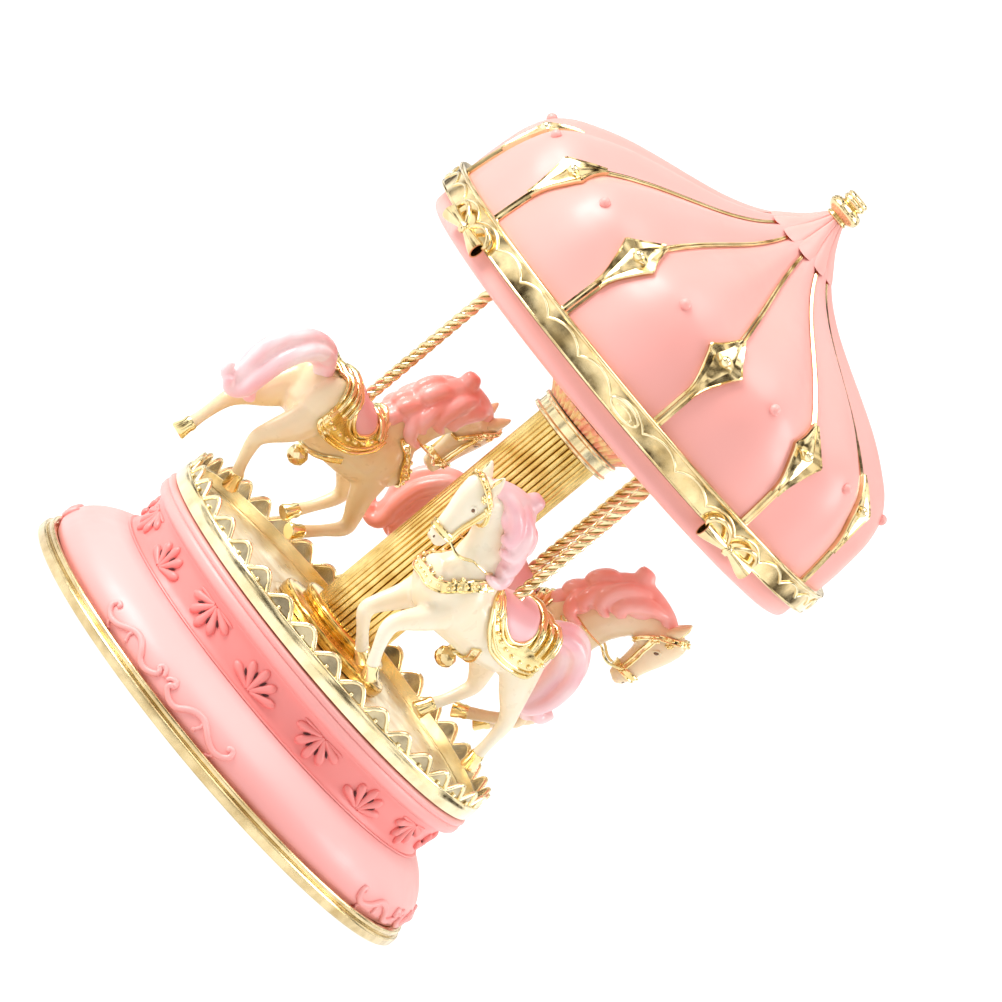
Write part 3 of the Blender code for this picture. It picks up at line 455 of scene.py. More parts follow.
RIM = reach("rim_ring")
DECK_TOP = height("deck_floor", 1)
SHELL_TOP = height("base_shell", 1)
BAND_R = 47.3                # radius of the hollow band's relief
BAND_WAIST = 21.2            # height where the hollow band is narrowest
SCROLL_START = -15.9         # bearing of the first pair of scrolls
SCROLL_DROP = 0.9            # how far the foot's scrolls sit below their drawn heights
FOOT_R = 57.5                # radius at which the scrolls are spread out
FOOT_CURVE = ((48.2, 16.6), (50.7, 15.5), (53.1, 14.0), (55.3, 12.1), (57.0, 9.9), (57.9, 7.4),
              (57.9, 5.4), (57.2, 3.8))


def foot_radius(z):
    """Radius of the rounded foot at a height."""
    for (r_high, z_high), (r_low, z_low) in zip(FOOT_CURVE, FOOT_CURVE[1:]):
        if z_low <= z <= z_high:
            return r_low + (r_high - r_low) * (z - z_low) / (z_high - z_low)
    return FOOT_CURVE[-1][0]


def build_rim():
    """Two-step gilt ring that the box stands on."""
    top = height("rim_ring", 1)
    profile = [(RIM - 1.7, top + 0.6), (RIM - 1.0, top + 0.5), (RIM - 0.75, top + 0.1),
               (RIM - 0.8, 2.9), (RIM - 1.15, 2.7), (RIM - 1.1, 2.45), (RIM - 0.3, 2.4), (RIM, 2.0),
               (RIM, 0.4), (RIM - 0.4, 0.0),
               (54.0, 0.0), (54.0, top), (RIM - 1.9, top)]
    # The rim ring wears the darker gilt copy, a painted shade.
    lathe("rim_ring_fine", profile, RIM_SHADED_GOLD, "base", "gilt", ["rim_ring"], steps=288, edge=0.1)


def build_pedestal_shell():
    """Pink casting from the lip under the deck, down the hollow band, to the rounded foot."""
    lip = [(48.9, SHELL_TOP), (49.7, 30.2), (49.95, 29.7), (49.8, 29.2), (49.45, 28.9),
           (49.8, 28.6), (50.0, 27.9), (49.9, 27.0), (49.4, 26.3), (48.7, 26.0), (48.1, 25.8)]
    hollow = spline([(48.0, 25.6), (47.4, 23.9), (47.1, 21.2), (47.3, 18.7), (47.8, 17.4)], 4)
    step = [(47.9, 17.1), (48.5, 17.0), (48.6, 16.75)]
    foot = spline(FOOT_CURVE, 4)
    inside = [(45.0, 3.8), (45.0, 12.0), (43.5, 15.0), (43.5, SHELL_TOP)]
    lathe("pedestal_shell", lip + hollow + step + foot + inside, PEDESTAL, "base",
          "pink_lacquer", ["base_shell"], steps=240, edge=0.0, crease=50.0)


def on_band(bearing, u, v, lift):
    """A point on the hollow band, u across and v up from the middle of a palmette."""
    z = FAN_MIDDLE + v
    radius = BAND_R + 0.10 * ((z - BAND_WAIST) / 2.0) ** 2 - 0.15 + lift
    return polar(radius, bearing + math.degrees(u / BAND_R), z)


FANS = 16
FAN_START = -3.4             # bearing of the first fan
FAN_MIDDLE = 21.3            # height of the middle of every fan
PETALS = ((0.0, 7.1, 1.15), (35.0, 6.7, 1.15), (71.0, 6.9, 1.05))   # degrees, length, half width
HANGING_LEAF = ((88.0, 6.2, 0.42),)
PETAL_ROOT = 0.7             # distance of a petal's root from the fan's centre
PETAL_SHOULDER = 0.72        # where along its length a petal is widest
SLIT_ANGLES = (17.5, 53.0)
SLIT_RADII = (0.06, 0.20, 0.26, 0.22, 0.08)


def petal_width(t, half):
    """Half width of a petal of greatest half width half, at t from its root (0) to its tip (1)."""
    if t < PETAL_SHOULDER:
        return half * (0.34 + 0.66 * t / PETAL_SHOULDER)
    past = (t - PETAL_SHOULDER) / (1.0 - PETAL_SHOULDER)
    return half * math.sqrt(max(0.003, 1.0 - past ** 2))


def build_palmettes():
    """Sixteen fans of five fat petals round the hollow band, upright and hanging in turn.

    Dark tubes between the petals stand for the shade inside pierced slits, a painted shadow, and hanging
    fans have two thin upper leaves.
    """
    fans = Shape()
    slit_shades = Shape()
    stations = (0.0, 0.15, 0.3, 0.45, 0.6, 0.72, 0.82, 0.90, 0.955, 0.99, 1.0)
    for number in range(FANS):
        upright = 1.0 if number % 2 == 0 else -1.0
        bearing = FAN_START + 360.0 / FANS * number
        out = polar(1.0, bearing, 0.0)

        def fan_point(angle, distance, lift):
            """A point at an angle and distance from the fan's centre."""
            turn = math.radians(angle)
            rise = distance * math.cos(turn) - 3.6 + 0.6 * abs(math.sin(turn))
            return on_band(bearing, distance * math.sin(turn), upright * rise, lift)

        for angle, length, half in PETALS + (HANGING_LEAF if upright < 0.0 else ()):
            for side in (SIDES[:1] if angle == 0.0 else SIDES):
                points = [fan_point(side * angle, PETAL_ROOT + (length - PETAL_ROOT) * t, 0.15)
                          for t in stations]
                widths = [petal_width(t, half) for t in stations]
                fans.tube(points, widths, sides=12, flat=0.85, up=[out] * len(stations))
        # Painted shadow: dark tubes in the valleys between the petals.
        for angle in SLIT_ANGLES:
            for side in SIDES:
                points = [fan_point(side * angle, 3.2 + 0.42 * k, 0.28) for k in range(len(SLIT_RADII))]
                slit_shades.tube(points, SLIT_RADII, sides=8, up=[out] * len(points))
    fans.piece("palmettes", PEDESTAL, "base", "pink_lacquer", crease=60.0)
    slit_shades.piece("palmette_slit_shadows", SLIT_SHADOW, "base", "pink_lacquer", crease=60.0)


def on_foot(bearing, u, z, lift):
    """A point on the foot, u across from a bearing, at a drawn height z less the scrolls' drop."""
    low = z - SCROLL_DROP
    return polar(foot_radius(low) + lift, bearing + math.degrees(u / FOOT_R), low)


def build_scrolls():
    """Four pairs of mirrored scrolls in low relief round the foot."""
    half = [(0.4, 8.6), (1.1, 9.6), (2.2, 9.9), (2.7, 9.0), (2.0, 8.6), (1.9, 7.8), (3.0, 6.9),
            (4.8, 6.3), (6.6, 6.7), (8.2, 8.2), (10.0, 9.3), (12.2, 9.5), (14.2, 8.6),
            (16.2, 7.4), (18.4, 6.8), (20.4, 7.3), (21.6, 8.6), (21.2, 9.9), (20.2, 9.8), (20.4, 9.2)]
    sprigs = ([(12.6, 9.3), (12.9, 8.0), (12.4, 6.9)], [(18.2, 6.9), (18.9, 6.0), (18.3, 5.1)])
    beads = ((12.3, 6.6, 0.55), (18.1, 4.9, 0.6), (2.2, 9.2, 0.5), (20.5, 9.5, 0.5))
    path = spline(half, 5)
    last = len(path) - 1
    widths = [0.42 + 0.34 * math.sin(math.pi * i / last) ** 0.5 for i in range(last + 1)]
    shape = Shape()
    for number in range(QUARTERS):
        bearing = SCROLL_START + QUARTER * number
        out = polar(1.0, bearing, 0.25)
        for side in SIDES:
            points = [on_foot(bearing, side * u, z, 0.25) for u, z in path]
            shape.tube(points, widths, sides=8, up=[out] * len(points))
            for sprig in sprigs:
                line = spline(sprig, 4)
                points = [on_foot(bearing, side * u, z, 0.2) for u, z in line]
                shape.tube(points, 0.42, sides=8, up=[out] * len(points))
            for u, z, size in beads:
                shape.ball(on_foot(bearing, side * u, z, 0.1), size, rings=6, sides=8)
    shape.piece("foot_scrolls", PEDESTAL, "base", "pink_lacquer", crease=60.0)


def build_deck():
    """Gilt ring round the deck, and the pale floor inside the fence."""
    outer = reach("deck_ring")
    low = height("deck_ring", 0)
    top = height("deck_ring", 1)
    ring = [(outer - 1.0, top + 0.2), (outer - 0.25, top - 0.1), (outer, top - 0.6),
            (outer, low + 0.5), (outer - 0.2, low), (46.8, low), (47.0, top + 0.2)]
    lathe("deck_ring_fine", ring, PALE_GOLD, "base", "gilt", ["deck_ring"], steps=288, edge=0.1)
    floor = [(46.5, DECK_TOP), (46.5, DECK_TOP - 1.2), (BORE, DECK_TOP - 1.2), (BORE, DECK_TOP),
             (16.8, DECK_TOP), (17.2, DECK_TOP - 0.25), (17.6, DECK_TOP), (30.0, DECK_TOP + 0.05),
             (44.2, DECK_TOP), (44.6, DECK_TOP - 0.25), (45.0, DECK_TOP)]
    lathe("deck_floor_fine", floor, FLOOR_GOLD, "base", "pale_gilt", ["deck_floor"], steps=180,
          edge=0.0)


def build_fence():
    """Low gilt fence of rounded arches with a thick raised edge and a bead under each arch."""
    arches = 38
    samples = 16
    valley = height("arch_fence", 0) - 0.4
    tip = height("arch_fence", 1)
    wall = Shape()
    trim = Shape()
    rows = []
    edge = []
    for i in range(arches * samples):
        bearing = 360.0 * i / (arches * samples)
        wave = math.sin(math.pi * (i % samples) / samples) ** 1.25
        top = valley + (tip - valley) * wave
        rows.append([polar(48.75, bearing, valley - 0.6), polar(48.6, bearing, top),
                     polar(48.2, bearing, top), polar(47.7, bearing, valley - 0.6)])
        edge.append(polar(48.6, bearing, top))
        if i % samples == samples // 2:
            trim.ball(polar(48.95, bearing, valley + 0.35), 0.5, rings=6, sides=8)
    wall.grid(rows, close_rows=True, close_columns=True)
    trim.tube(edge, 0.55, sides=8, closed=True)
    # The wall between the arches wears the darker gilt copy, a painted shade.
    wall.piece("arch_fence_wall", WALL_SHADED_GOLD, "base", "gilt", ["arch_fence"], crease=45.0)
    trim.piece("arch_fence_edge", PALE_GOLD, "base", "gilt", crease=60.0)


# ---------------------------------------------------------------- column

REEDS = 40
REED_DEPTH = 0.75


def build_column_foot():
    """Stepped gilt flange at the bottom of the column."""
    bottom = height("column_foot", 0)
    profile = [(9.6, 6.0)]
    profile += spline([(10.9, 6.0), (11.9, 5.7), (12.3, 4.9), (12.0, 4.1), (11.6, 3.7)], 4)
    profile += [(12.3, 3.4), (14.4, 3.1), (14.9, 2.8)]
    profile += spline([(15.2, 2.7), (15.9, 2.5), (16.2, 1.8)], 3)
    profile += [(16.2, 0.6), (15.9, 0.2), (16.1, 0.0), (BORE, 0.0), (BORE, 6.0)]
    lathe("column_foot_fine", [(r, bottom + z) for r, z in profile], RICH_GOLD, "base", "gilt",
          ["column_foot"], steps=144, edge=0.08)


def build_column_sleeve():
    """Gilt column of rounded reeds with painted shade in the grooves."""
    per_reed = 9
    low = height("column_sleeve", 0) - 0.3
    high = height("column_sleeve", 1)
    radius = reach("column_sleeve")
    rows = []
    for i in range(REEDS * per_reed):
        bearing = 360.0 * i / (REEDS * per_reed)
        u = 2.0 * (i % per_reed) / per_reed - 1.0
        groove = REED_DEPTH * (1.0 - math.sqrt(max(0.0, 1.0 - u * u)))
        rows.append([polar(radius - groove, bearing, high), polar(radius - groove, bearing, low),
                     polar(BORE, bearing, low), polar(BORE, bearing, high)])
    shape = Shape()
    shape.grid(rows, close_rows=True, close_columns=True)
    # The reeds' gilt is painted dark in the grooves, a painted shade.
    reeded = groove_shaded_gold("gilt_reeds", (0.66, 0.42, 0.11), (0.95, 0.72, 0.30),
                          radius - REED_DEPTH, radius - 0.45 * REED_DEPTH)
    shape.piece("column_reeded", reeded, "base", "gilt", ["column_sleeve"], crease=70.0)


def build_column_ring():
    """Bright flanged ring at the top of the column, the same above and below its waist."""
    low = height("column_ring", 0)
    high = height("column_ring", 1)
    outer = reach("column_ring")
    flange = ((0.2, 0.0), (0.0, 0.2), (0.0, 0.7), (0.25, 0.9), (0.55, 1.0))
    ring = [(outer - inset, high - drop) for inset, drop in flange]
    ring += [(outer - inset, low + rise) for inset, rise in flange[::-1]]
    ring += [(BORE, low), (BORE, high)]
    lathe("column_ring_fine", ring, PALE_GOLD, "base", "pale_gilt", ["column_ring"], steps=144,
          edge=0.06)


# ---------------------------------------------------------------- roof

BAND_TOP = height("roof_band", 1)
BAND_BOTTOM = height("roof_band", 0)
BAND_OUT = reach("roof_band")
GORES = 12
GORE = 360.0 / GORES         # degrees between ribs
RIB_BEARING = 8.6            # bearing of the first rib
DIP_DEPTH = 2.7              # how far the dome sinks under a rib where it sinks most
DOME_WALL = 1.6
STUD_HEIGHT = 143.2
KITE_HALF = 5.2              # half the greatest width of a rib's kite ornament
STEM_HALF = 1.1              # half the width of the stem where it meets the kite
STEM_SECTION = ((-1.15, -0.3), (-1.15, 0.45), (-0.62, 0.55), (-0.42, 0.95), (0.0, 1.25),
                (0.42, 0.95), (0.62, 0.55), (1.15, 0.45), (1.15, -0.3))   # across, lift
DOME = ((59.9, 122.6), (59.95, 126.8), (59.5, 133.4), (58.9, 137.6), (57.6, 141.7), (55.9, 144.5),
        (53.0, 147.3), (49.6, 149.5), (45.1, 152.0), (40.7, 154.0), (36.3, 155.7), (32.1, 157.2),
        (28.1, 158.6), (23.7, 160.2), (19.1, 162.1), (14.5, 164.5), (11.0, 166.9), (8.6, 169.0))
DOME_LINE = spline(DOME, 5)
DOME_END = len(DOME_LINE) - 1


def dome_dip(bearing, share):
    """How far the dome dips towards the ribs; share runs from 0 at the band to 1 at the cap."""
    phase = math.radians(GORES * (bearing - RIB_BEARING))
    valley = 0.5 + 0.5 * math.cos(phase)
    rise = min(1.0, 0.35 + share * 3.2)
    fade = 1.0 if share < 0.5 else 1.0 - 1.5 * (share - 0.5)
    return DIP_DEPTH * valley ** 1.25 * rise * fade


def dome_point(position, bearing, lift=0.0):
    """A point on the dome: position runs from 0 at the band to 1 at the cap."""
    place = min(max(position, 0.0), 1.0) * DOME_END
    index = min(int(place), DOME_END - 1)
    share = place - index
    low = Vector(DOME_LINE[index])
    high = Vector(DOME_LINE[index + 1])
    point = low.lerp(high, share)
    along = Vector(DOME_LINE[min(index + 2, DOME_END)]) - Vector(DOME_LINE[max(index - 1, 0)])
    out = Vector((along.y, -along.x)).normalized()
    point = point + out * (lift - dome_dip(bearing, position))
    return polar(point.x, bearing, point.y)


def dome_at_height(z):
    """The dome position whose mid-gore height is z."""
    for index in range(DOME_END):
        if DOME_LINE[index][1] <= z <= DOME_LINE[index + 1][1]:
            low = DOME_LINE[index][1]
            high = DOME_LINE[index + 1][1]
            return (index + (z - low) / (high - low)) / DOME_END
    return 1.0


def build_dome():
    """Pink dome of soft gores between the ribs, with a small stud on each gore."""
    around = GORES * 20
    rows = []
    for i in range(around):
        bearing = RIB_BEARING + 360.0 * i / around
        outside = [dome_point(k / DOME_END, bearing) for k in range(DOME_END, -1, -1)]
        inside = [dome_point(k / 12.0, bearing, -DOME_WALL) for k in range(13)]
        rows.append(outside + inside)
    shape = Shape()
    shape.grid(rows, close_rows=True, close_columns=True)
    shape.piece("dome_gores", PINK, "carousel", "pink_lacquer", ["dome_shell"], crease=60.0)

    bumps = Shape()
    position = dome_at_height(STUD_HEIGHT)
    for gore in range(GORES):
        bearing = RIB_BEARING + GORE * (gore + 0.5)
        bumps.ball(dome_point(position, bearing, 0.1), 1.25, rings=12, sides=20)
    bumps.piece("dome_studs", PINK, "carousel", "pink_lacquer", crease=60.0)


# Places along the dome: the kite's lower point, its widest place, its upper point, the rib's end.
RIB_TAIL = dome_at_height(132.0)
RIB_WIDEST = dome_at_height(142.6)
RIB_HEAD = dome_at_height(148.7)
RIB_END = dome_at_height(167.4)
DOME_SHARE = 0.0061          # share of the dome that one millimetre takes at the kites


def rib_half_width(position):
    """Half the width of a rib at a dome position."""
    if position <= RIB_TAIL:
        return STEM_HALF
    if position <= RIB_WIDEST:
        t = (position - RIB_TAIL) / (RIB_WIDEST - RIB_TAIL)
        return STEM_HALF + (KITE_HALF - STEM_HALF) * t ** 1.35
    if position <= RIB_HEAD:
        t = (position - RIB_WIDEST) / (RIB_HEAD - RIB_WIDEST)
        return KITE_HALF + (0.9 - KITE_HALF) * (1.0 - (1.0 - t) ** 1.25)
    return 0.72 - 0.38 * (position - RIB_HEAD) / (RIB_END - RIB_HEAD)


def kite_section(position):
    """Points of (across, lift) round a kite ornament: raised rims and a ridge between hollows."""
    half = rib_half_width(position)
    rim = min(0.55, 0.45 * half)
    body = half - rim
    hollow = 0.35 + 0.5 * (1.0 - body / KITE_HALF)
    left = ((half, -0.3), (half, 0.95), (half - 0.5 * rim, 1.25), (body, 0.95),
            (body * 0.55, hollow + 0.1))
    return [(-x, lift) for x, lift in left] + [(0.0, 1.05)] + list(left[::-1])


def build_ribs():
    """Twelve gilt ribs: a ridged stem, a kite ornament with bead and crescent, a fine upper rib."""
    shape = Shape()
    beads = Shape()
    for rib in range(GORES):
        middle = RIB_BEARING + GORE * rib

        def at(position, across, lift):
            """A point on this rib, at a distance across from its middle line."""
            radius = dome_point(position, middle).xy.length
            return dome_point(position, middle + math.degrees(across / radius), lift)

        def bar(start, end, count, section):
            """A closed bar along the rib with the points of section(position) round it."""
            rows = []
            for k in range(count + 1):
                position = start + (end - start) * k / count
                rows.append([at(position, x, lift) for x, lift in section(position)])
            first = shape.grid(rows, close_columns=True)
            shape.cap(first, len(rows[0]))
            shape.cap(first + count * len(rows[0]), len(rows[0]))

        bar(0.0, RIB_TAIL * 1.06, 12, lambda position: STEM_SECTION)
        bar(RIB_TAIL * 0.97, RIB_HEAD * 1.01, 26, kite_section)

        leg_start = RIB_HEAD * 0.985
        steps = 40
        straight_out = at(0.5, 0.0, 9.0) - at(0.5, 0.0, 0.0)
        for side in (-1.0, 1.0):
            line = []
            radii = []
            for k in range(steps + 1):
                position = leg_start + (RIB_END - leg_start) * k / steps
                line.append(at(position, side * rib_half_width(position) * 0.62, 0.30))
                radii.append(0.38 - 0.16 * k / steps)
            shape.tube(line, radii, sides=6, up=[straight_out] * len(line))

        beads.ball(at(RIB_WIDEST * 0.995, 0.0, 1.3), 1.3, rings=10, sides=16)
        out = (at(RIB_WIDEST, 0.0, 5.0) - at(RIB_WIDEST, 0.0, 0.0)).normalized()
        crescent = []
        radii = []
        for k in range(13):
            angle = math.radians(200.0 + 140.0 * k / 12.0)
            up_step = (2.1 * math.sin(angle) + 0.10) * DOME_SHARE
            crescent.append(at(RIB_WIDEST + up_step, 2.2 * math.cos(angle), 1.15))
            radii.append(0.12 + 0.24 * math.sin(math.pi * k / 12.0))
        beads.tube(crescent, radii, sides=6, up=[out] * len(crescent))
    shape.piece("rib_cage_fine", GOLD, "carousel", "gilt", ["rib_cage"], crease=24.0)
    beads.piece("rib_beads", PALE_GOLD, "carousel", "gilt", crease=60.0)


CAP_TIP_R = 2.5
CAP_EDGE_R = 10.7


def build_cap():
    """Fluted pink cap: twelve rounded petals with a scalloped lower edge."""
    outline = spline([(CAP_TIP_R, 177.0), (3.0, 176.2), (4.4, 174.1), (6.1, 172.0), (8.3, 169.9),
                      (9.9, 168.5), (CAP_EDGE_R, 167.7)], 4)
    around = GORES * 14
    rows = []
    for i in range(around):
        bearing = RIB_BEARING + 360.0 * i / around
        petal = abs(math.cos(math.radians(0.5 * GORES * (bearing - RIB_BEARING)))) ** 0.6
        row = []
        for r, z in outline:
            share = (r - CAP_TIP_R) / (CAP_EDGE_R - CAP_TIP_R)
            row.append(polar(r - (1.0 - petal) * (0.25 + 0.9 * share), bearing,
                             z - 0.55 * petal * share ** 3))
        row += [polar(9.4, bearing, 168.2), polar(2.0, bearing, 174.0), polar(1.4, bearing, 177.0)]
        rows.append(row)
    shape = Shape()
    shape.grid(rows, close_rows=True, close_columns=True)
    shape.piece("roof_cap_fluted", CAP_PINK, "carousel", "pink_lacquer", ["roof_cap"], crease=50.0)


def build_finial():
    """Gilt button on a ball, turned in one piece; its outline is drawn down from the top."""
    top = height("finial", 1)
    button = spline([(1.6, 0.02), (2.3, 0.15), (2.8, 0.6), (2.75, 1.05)], 4) + [(2.55, 1.2)]
    collar = spline([(2.75, 1.35), (2.9, 1.8), (2.7, 2.3), (2.2, 2.6)], 4)
    ball = spline([(2.3, 2.75), (3.4, 3.1), (4.05, 3.9), (4.15, 4.7), (3.7, 5.6), (2.9, 6.2),
                   (2.5, 6.4)], 5)
    foot = spline([(2.5, 6.5), (2.75, 6.9), (2.5, 7.3)], 3) + [(1.3, 7.4)]
    profile = [(r, top - drop) for r, drop in [(0.0, 0.0)] + button + collar + ball + foot]
    profile += [(1.3, 172.6), (0.0, 172.6)]
    lathe("finial_fine", profile, GOLD, "carousel", "gilt", ["finial"], steps=72, edge=0.0,
          crease=50.0)


BAND_WAVES = 36
WAVE_START = 3.3             # bearings of the first wave, loop and bow
LOOP_START = 2.7
BOW_START = -51.4


def build_band():
    """Gilt band with a bead along its top edge."""
    bead = spline([(BAND_OUT - 0.9, BAND_TOP), (BAND_OUT - 0.3, BAND_TOP - 0.1),
                   (BAND_OUT, BAND_TOP - 0.5), (BAND_OUT - 0.2, BAND_TOP - 0.95),
                   (BAND_OUT - 0.5, BAND_TOP - 1.05)], 3)
    profile = bead + [(BAND_OUT - 0.5, BAND_BOTTOM + 0.5), (BAND_OUT - 0.3, BAND_BOTTOM + 0.2),
                      (BAND_OUT - 0.35, BAND_BOTTOM), (57.2, BAND_BOTTOM), (57.2, BAND_BOTTOM + 1.4),
                      (59.2, BAND_TOP)]
    lathe("roof_band_fine", profile, GOLD, "carousel", "gilt", ["roof_band"], steps=360, edge=0.05)


def build_band_relief():
    """Raised wave line round the band, and four small oval loops with a curl inside."""
    samples = 12
    line = []
    for i in range(BAND_WAVES * samples):
        bearing = WAVE_START + 360.0 * i / (BAND_WAVES * samples)
        crest = abs(math.cos(math.pi * i / samples))
        line.append(polar(BAND_OUT - 0.42, bearing, BAND_TOP - 3.75 + 2.1 * crest ** 0.75))
    shape = Shape()
    shape.tube(line, 0.33, sides=8, closed=True)
    face = BAND_OUT - 0.35
    for number in range(QUARTERS):
        middle = LOOP_START + QUARTER * number
        oval = []
        for k in range(32):
            angle = 2.0 * math.pi * k / 32
            bearing = middle + 3.7 * math.cos(angle) + 0.15 * math.sin(angle)
            oval.append(polar(face, bearing, BAND_BOTTOM + 2.4 + 1.5 * math.sin(angle)))
        shape.tube(oval, 0.36, sides=8, closed=True)
        curl = []
        for k in range(18):
            angle = math.radians(-40.0 + 13.0 * k)
            curl.append(polar(face, middle + 2.2 * math.cos(angle),
                              BAND_BOTTOM + 2.1 + 0.8 * math.sin(angle)))
        shape.tube(curl, [0.32 - 0.012 * k for k in range(18)], sides=8)
    shape.piece("band_waves", PALE_GOLD, "carousel", "gilt", crease=60.0)


def build_ceiling():
    """Pink saucer that closes the roof from below."""
    low = height("roof_ceiling", 0)
    high = height("roof_ceiling", 1)
    profile = [(59.0, high)] + spline([(59.0, 114.6), (58.9, 113.4), (58.3, 112.4), (57.2, 111.9)], 4)
    profile += spline([(55.0, 111.6), (36.0, 110.2), (20.0, 109.0), (14.0, low)], 5)
    profile += [(13.6, low + 0.1), (SHAFT_BORE, low + 0.1), (SHAFT_BORE, low + 2.0),
                (14.0, low + 2.0), (55.8, 113.7), (56.8, 114.8), (56.8, high)]
    lathe("roof_ceiling_fine", profile, PINK, "carousel", "pink_lacquer", ["roof_ceiling"],
          steps=240, edge=0.0, crease=50.0)


def build_hub():
    """Salmon hub that flares from the column ring to the ceiling, with fine flutes."""
    flutes = 48
    low = height("roof_hub", 0)
    high = height("roof_hub", 1)
    flare = spline([(13.1, high), (12.9, high - 0.5), (12.2, high - 1.2), (11.4, high - 2.0),
                    (11.0, low)], 4)

    def flute(bearing, index):
        """Cut the flutes into the flare and leave the bore round."""
        if index >= len(flare):
            return 0.0
        return -0.75 * (1.0 - abs(math.sin(math.radians(0.5 * flutes * bearing))))

    lathe("roof_hub_fluted", flare + [(SHAFT_BORE, low), (SHAFT_BORE, high)], HUB, "carousel",
          "rose_lacquer", ["roof_hub"], steps=flutes * 8, edge=0.0, wobble=flute, crease=60.0)


BOW_SLEEVE = ((0.5, 0.0, 0.75, 0.6), (2.0, -0.1, 1.0, 0.8), (4.4, -0.3, 1.45, 1.1),
              (6.6, -0.5, 1.85, 1.3), (8.2, -0.6, 2.0, 1.4))    # u, v, half height, half depth
BOW_LOOP = ((0.7, 0.5, 1.2), (2.6, 2.6, 1.6), (5.4, 3.6, 1.7), (7.6, 2.9, 1.4), (8.5, 1.3, 1.1),
            (7.4, 0.5, 0.9), (4.2, 0.3, 1.0), (1.0, 0.0, 1.2))  # u, v, w
SLEEVE_WALL = 0.34
SLEEVE_SIDES = 20


def build_bow(number, middle):
    """A ribbon bow: two open sleeves, two upper loops and a creased knot."""
    shape = Shape()

    def at(u, v, w):
        """u to the right, v up, w outwards from the band's face."""
        return polar(BAND_OUT - 0.4 + w, middle + math.degrees(u / BAND_OUT), BAND_BOTTOM - 0.4 + v)

    def sleeve_ring(u, v, tall, deep):
        """A ring of points round an open sleeve."""
        turns = [2.0 * math.pi * k / SLEEVE_SIDES for k in range(SLEEVE_SIDES)]
        return [at(u, v + tall * math.sin(turn), 1.35 + deep * math.cos(turn)) for turn in turns]

    for side in SIDES:
        stations = spline(BOW_SLEEVE, 3)
        outer = [sleeve_ring(side * u, v, tall, deep) for u, v, tall, deep in stations]
        inner = [sleeve_ring(side * u, v, tall - SLEEVE_WALL, deep - SLEEVE_WALL)
                 for u, v, tall, deep in stations]
        shape.grid(outer + inner[::-1], close_rows=True, close_columns=True)
        ribbon = [at(side * u, v, w) for u, v, w in spline(BOW_LOOP, 4)]
        last = len(ribbon) - 1
        shape.tube(ribbon, [0.42 + 0.22 * math.sin(math.pi * k / last) for k in range(last + 1)],
                   sides=10)
    turn = Matrix.Rotation(math.radians(middle), 3, "Z")
    shape.ball(at(0.0, 0.0, 1.5), (1.15, 1.05, 1.35), turn, rings=10, sides=14)
    for k in (-1.0, 0.0, 1.0):
        fold = [at(0.45 * k + 0.1 * math.sin(i), -1.2 + 0.24 * i,
                   1.65 + 0.75 * math.sin(math.pi * i / 10.0)) for i in range(11)]
        shape.tube(fold, 0.24, sides=6)
    shape.piece("bow_ribbon_%d" % number, GOLD, "carousel", "gilt", ["bow_%d" % number], crease=50.0)


# ---------------------------------------------------------------- poles

POLES = [(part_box(node)[0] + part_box(node)[1]) * 0.5 / MM for node in ("pole_1", "pole_2", "pole_3")]


STRAND_RADIUS = 0.72
STRAND_ORBIT = 0.76          # radius of the helix that each strand follows
STRAND_LEAD = 7.4            # height of one turn
NUT_SIDES = 8
NUT_RINGS = 6


def build_pole(number, centre):
    """Twisted gilt rod of three strands."""
    low = height("pole_%d" % number, 0)
    high = height("pole_%d" % number, 1)
    shape = Shape()
    steps = int((high - low) / STRAND_LEAD * 18)
    for strand in range(3):
        points = []
        for k in range(steps + 1):
            z = low + (high - low) * k / steps
            angle = 2.0 * math.pi * (z / STRAND_LEAD + strand / 3.0)
            points.append((centre.x + STRAND_ORBIT * math.cos(angle),
                           centre.y + STRAND_ORBIT * math.sin(angle), z))
        shape.tube(points, STRAND_RADIUS, sides=7)
    # The rope's gilt is painted darker between the strands, a painted shade.
    rope = groove_shaded_gold("gilt_rope_%d" % number, (0.70, 0.53, 0.25), (0.93, 0.80, 0.50),
                        0.55 * STRAND_ORBIT, STRAND_ORBIT + 0.55 * STRAND_RADIUS,
                        (centre.x, centre.y))
    shape.piece("pole_rope_%d" % number, rope, "carousel", "gilt", ["pole_%d" % number], crease=60.0)


def build_ball_nut(number, centre):
    """Faceted gilt nut under a horse: rings of triangles, every other ring turned by half a side."""
    low = height("ball_nut_%d" % number, 0)
    high = height("ball_nut_%d" % number, 1)
    shape = Shape()
    for ring in range(NUT_RINGS + 1):
        angle = math.pi * (0.06 + 0.88 * ring / NUT_RINGS)
        radius = 2.55 * math.sin(angle)
        z = 0.5 * (low + high) + 0.5 * (high - low) * math.cos(angle)
        for k in range(NUT_SIDES):
            turn = 2.0 * math.pi * (k + 0.5 * (ring % 2)) / NUT_SIDES
            shape.verts.append(Vector((centre.x + radius * math.cos(turn),
                                       centre.y + radius * math.sin(turn), z)))
    for ring in range(NUT_RINGS):
        upper = ring * NUT_SIDES
        lower = upper + NUT_SIDES
        for k in range(NUT_SIDES):
            n = (k + 1) % NUT_SIDES
            if ring % 2:
                shape.faces += [(upper + k, lower + k, lower + n), (upper + k, lower + n, upper + n)]
            else:
                shape.faces += [(upper + k, lower + k, upper + n), (upper + n, lower + k, lower + n)]
    shape.cap(0, NUT_SIDES)
    shape.cap(NUT_RINGS * NUT_SIDES, NUT_SIDES)
    ball = shape.piece("ball_nut_faceted_%d" % number, GOLD, "carousel", "gilt",
                       ["ball_nut_%d" % number], crease=10.0)
    soften(ball, 0.08, 10.0)


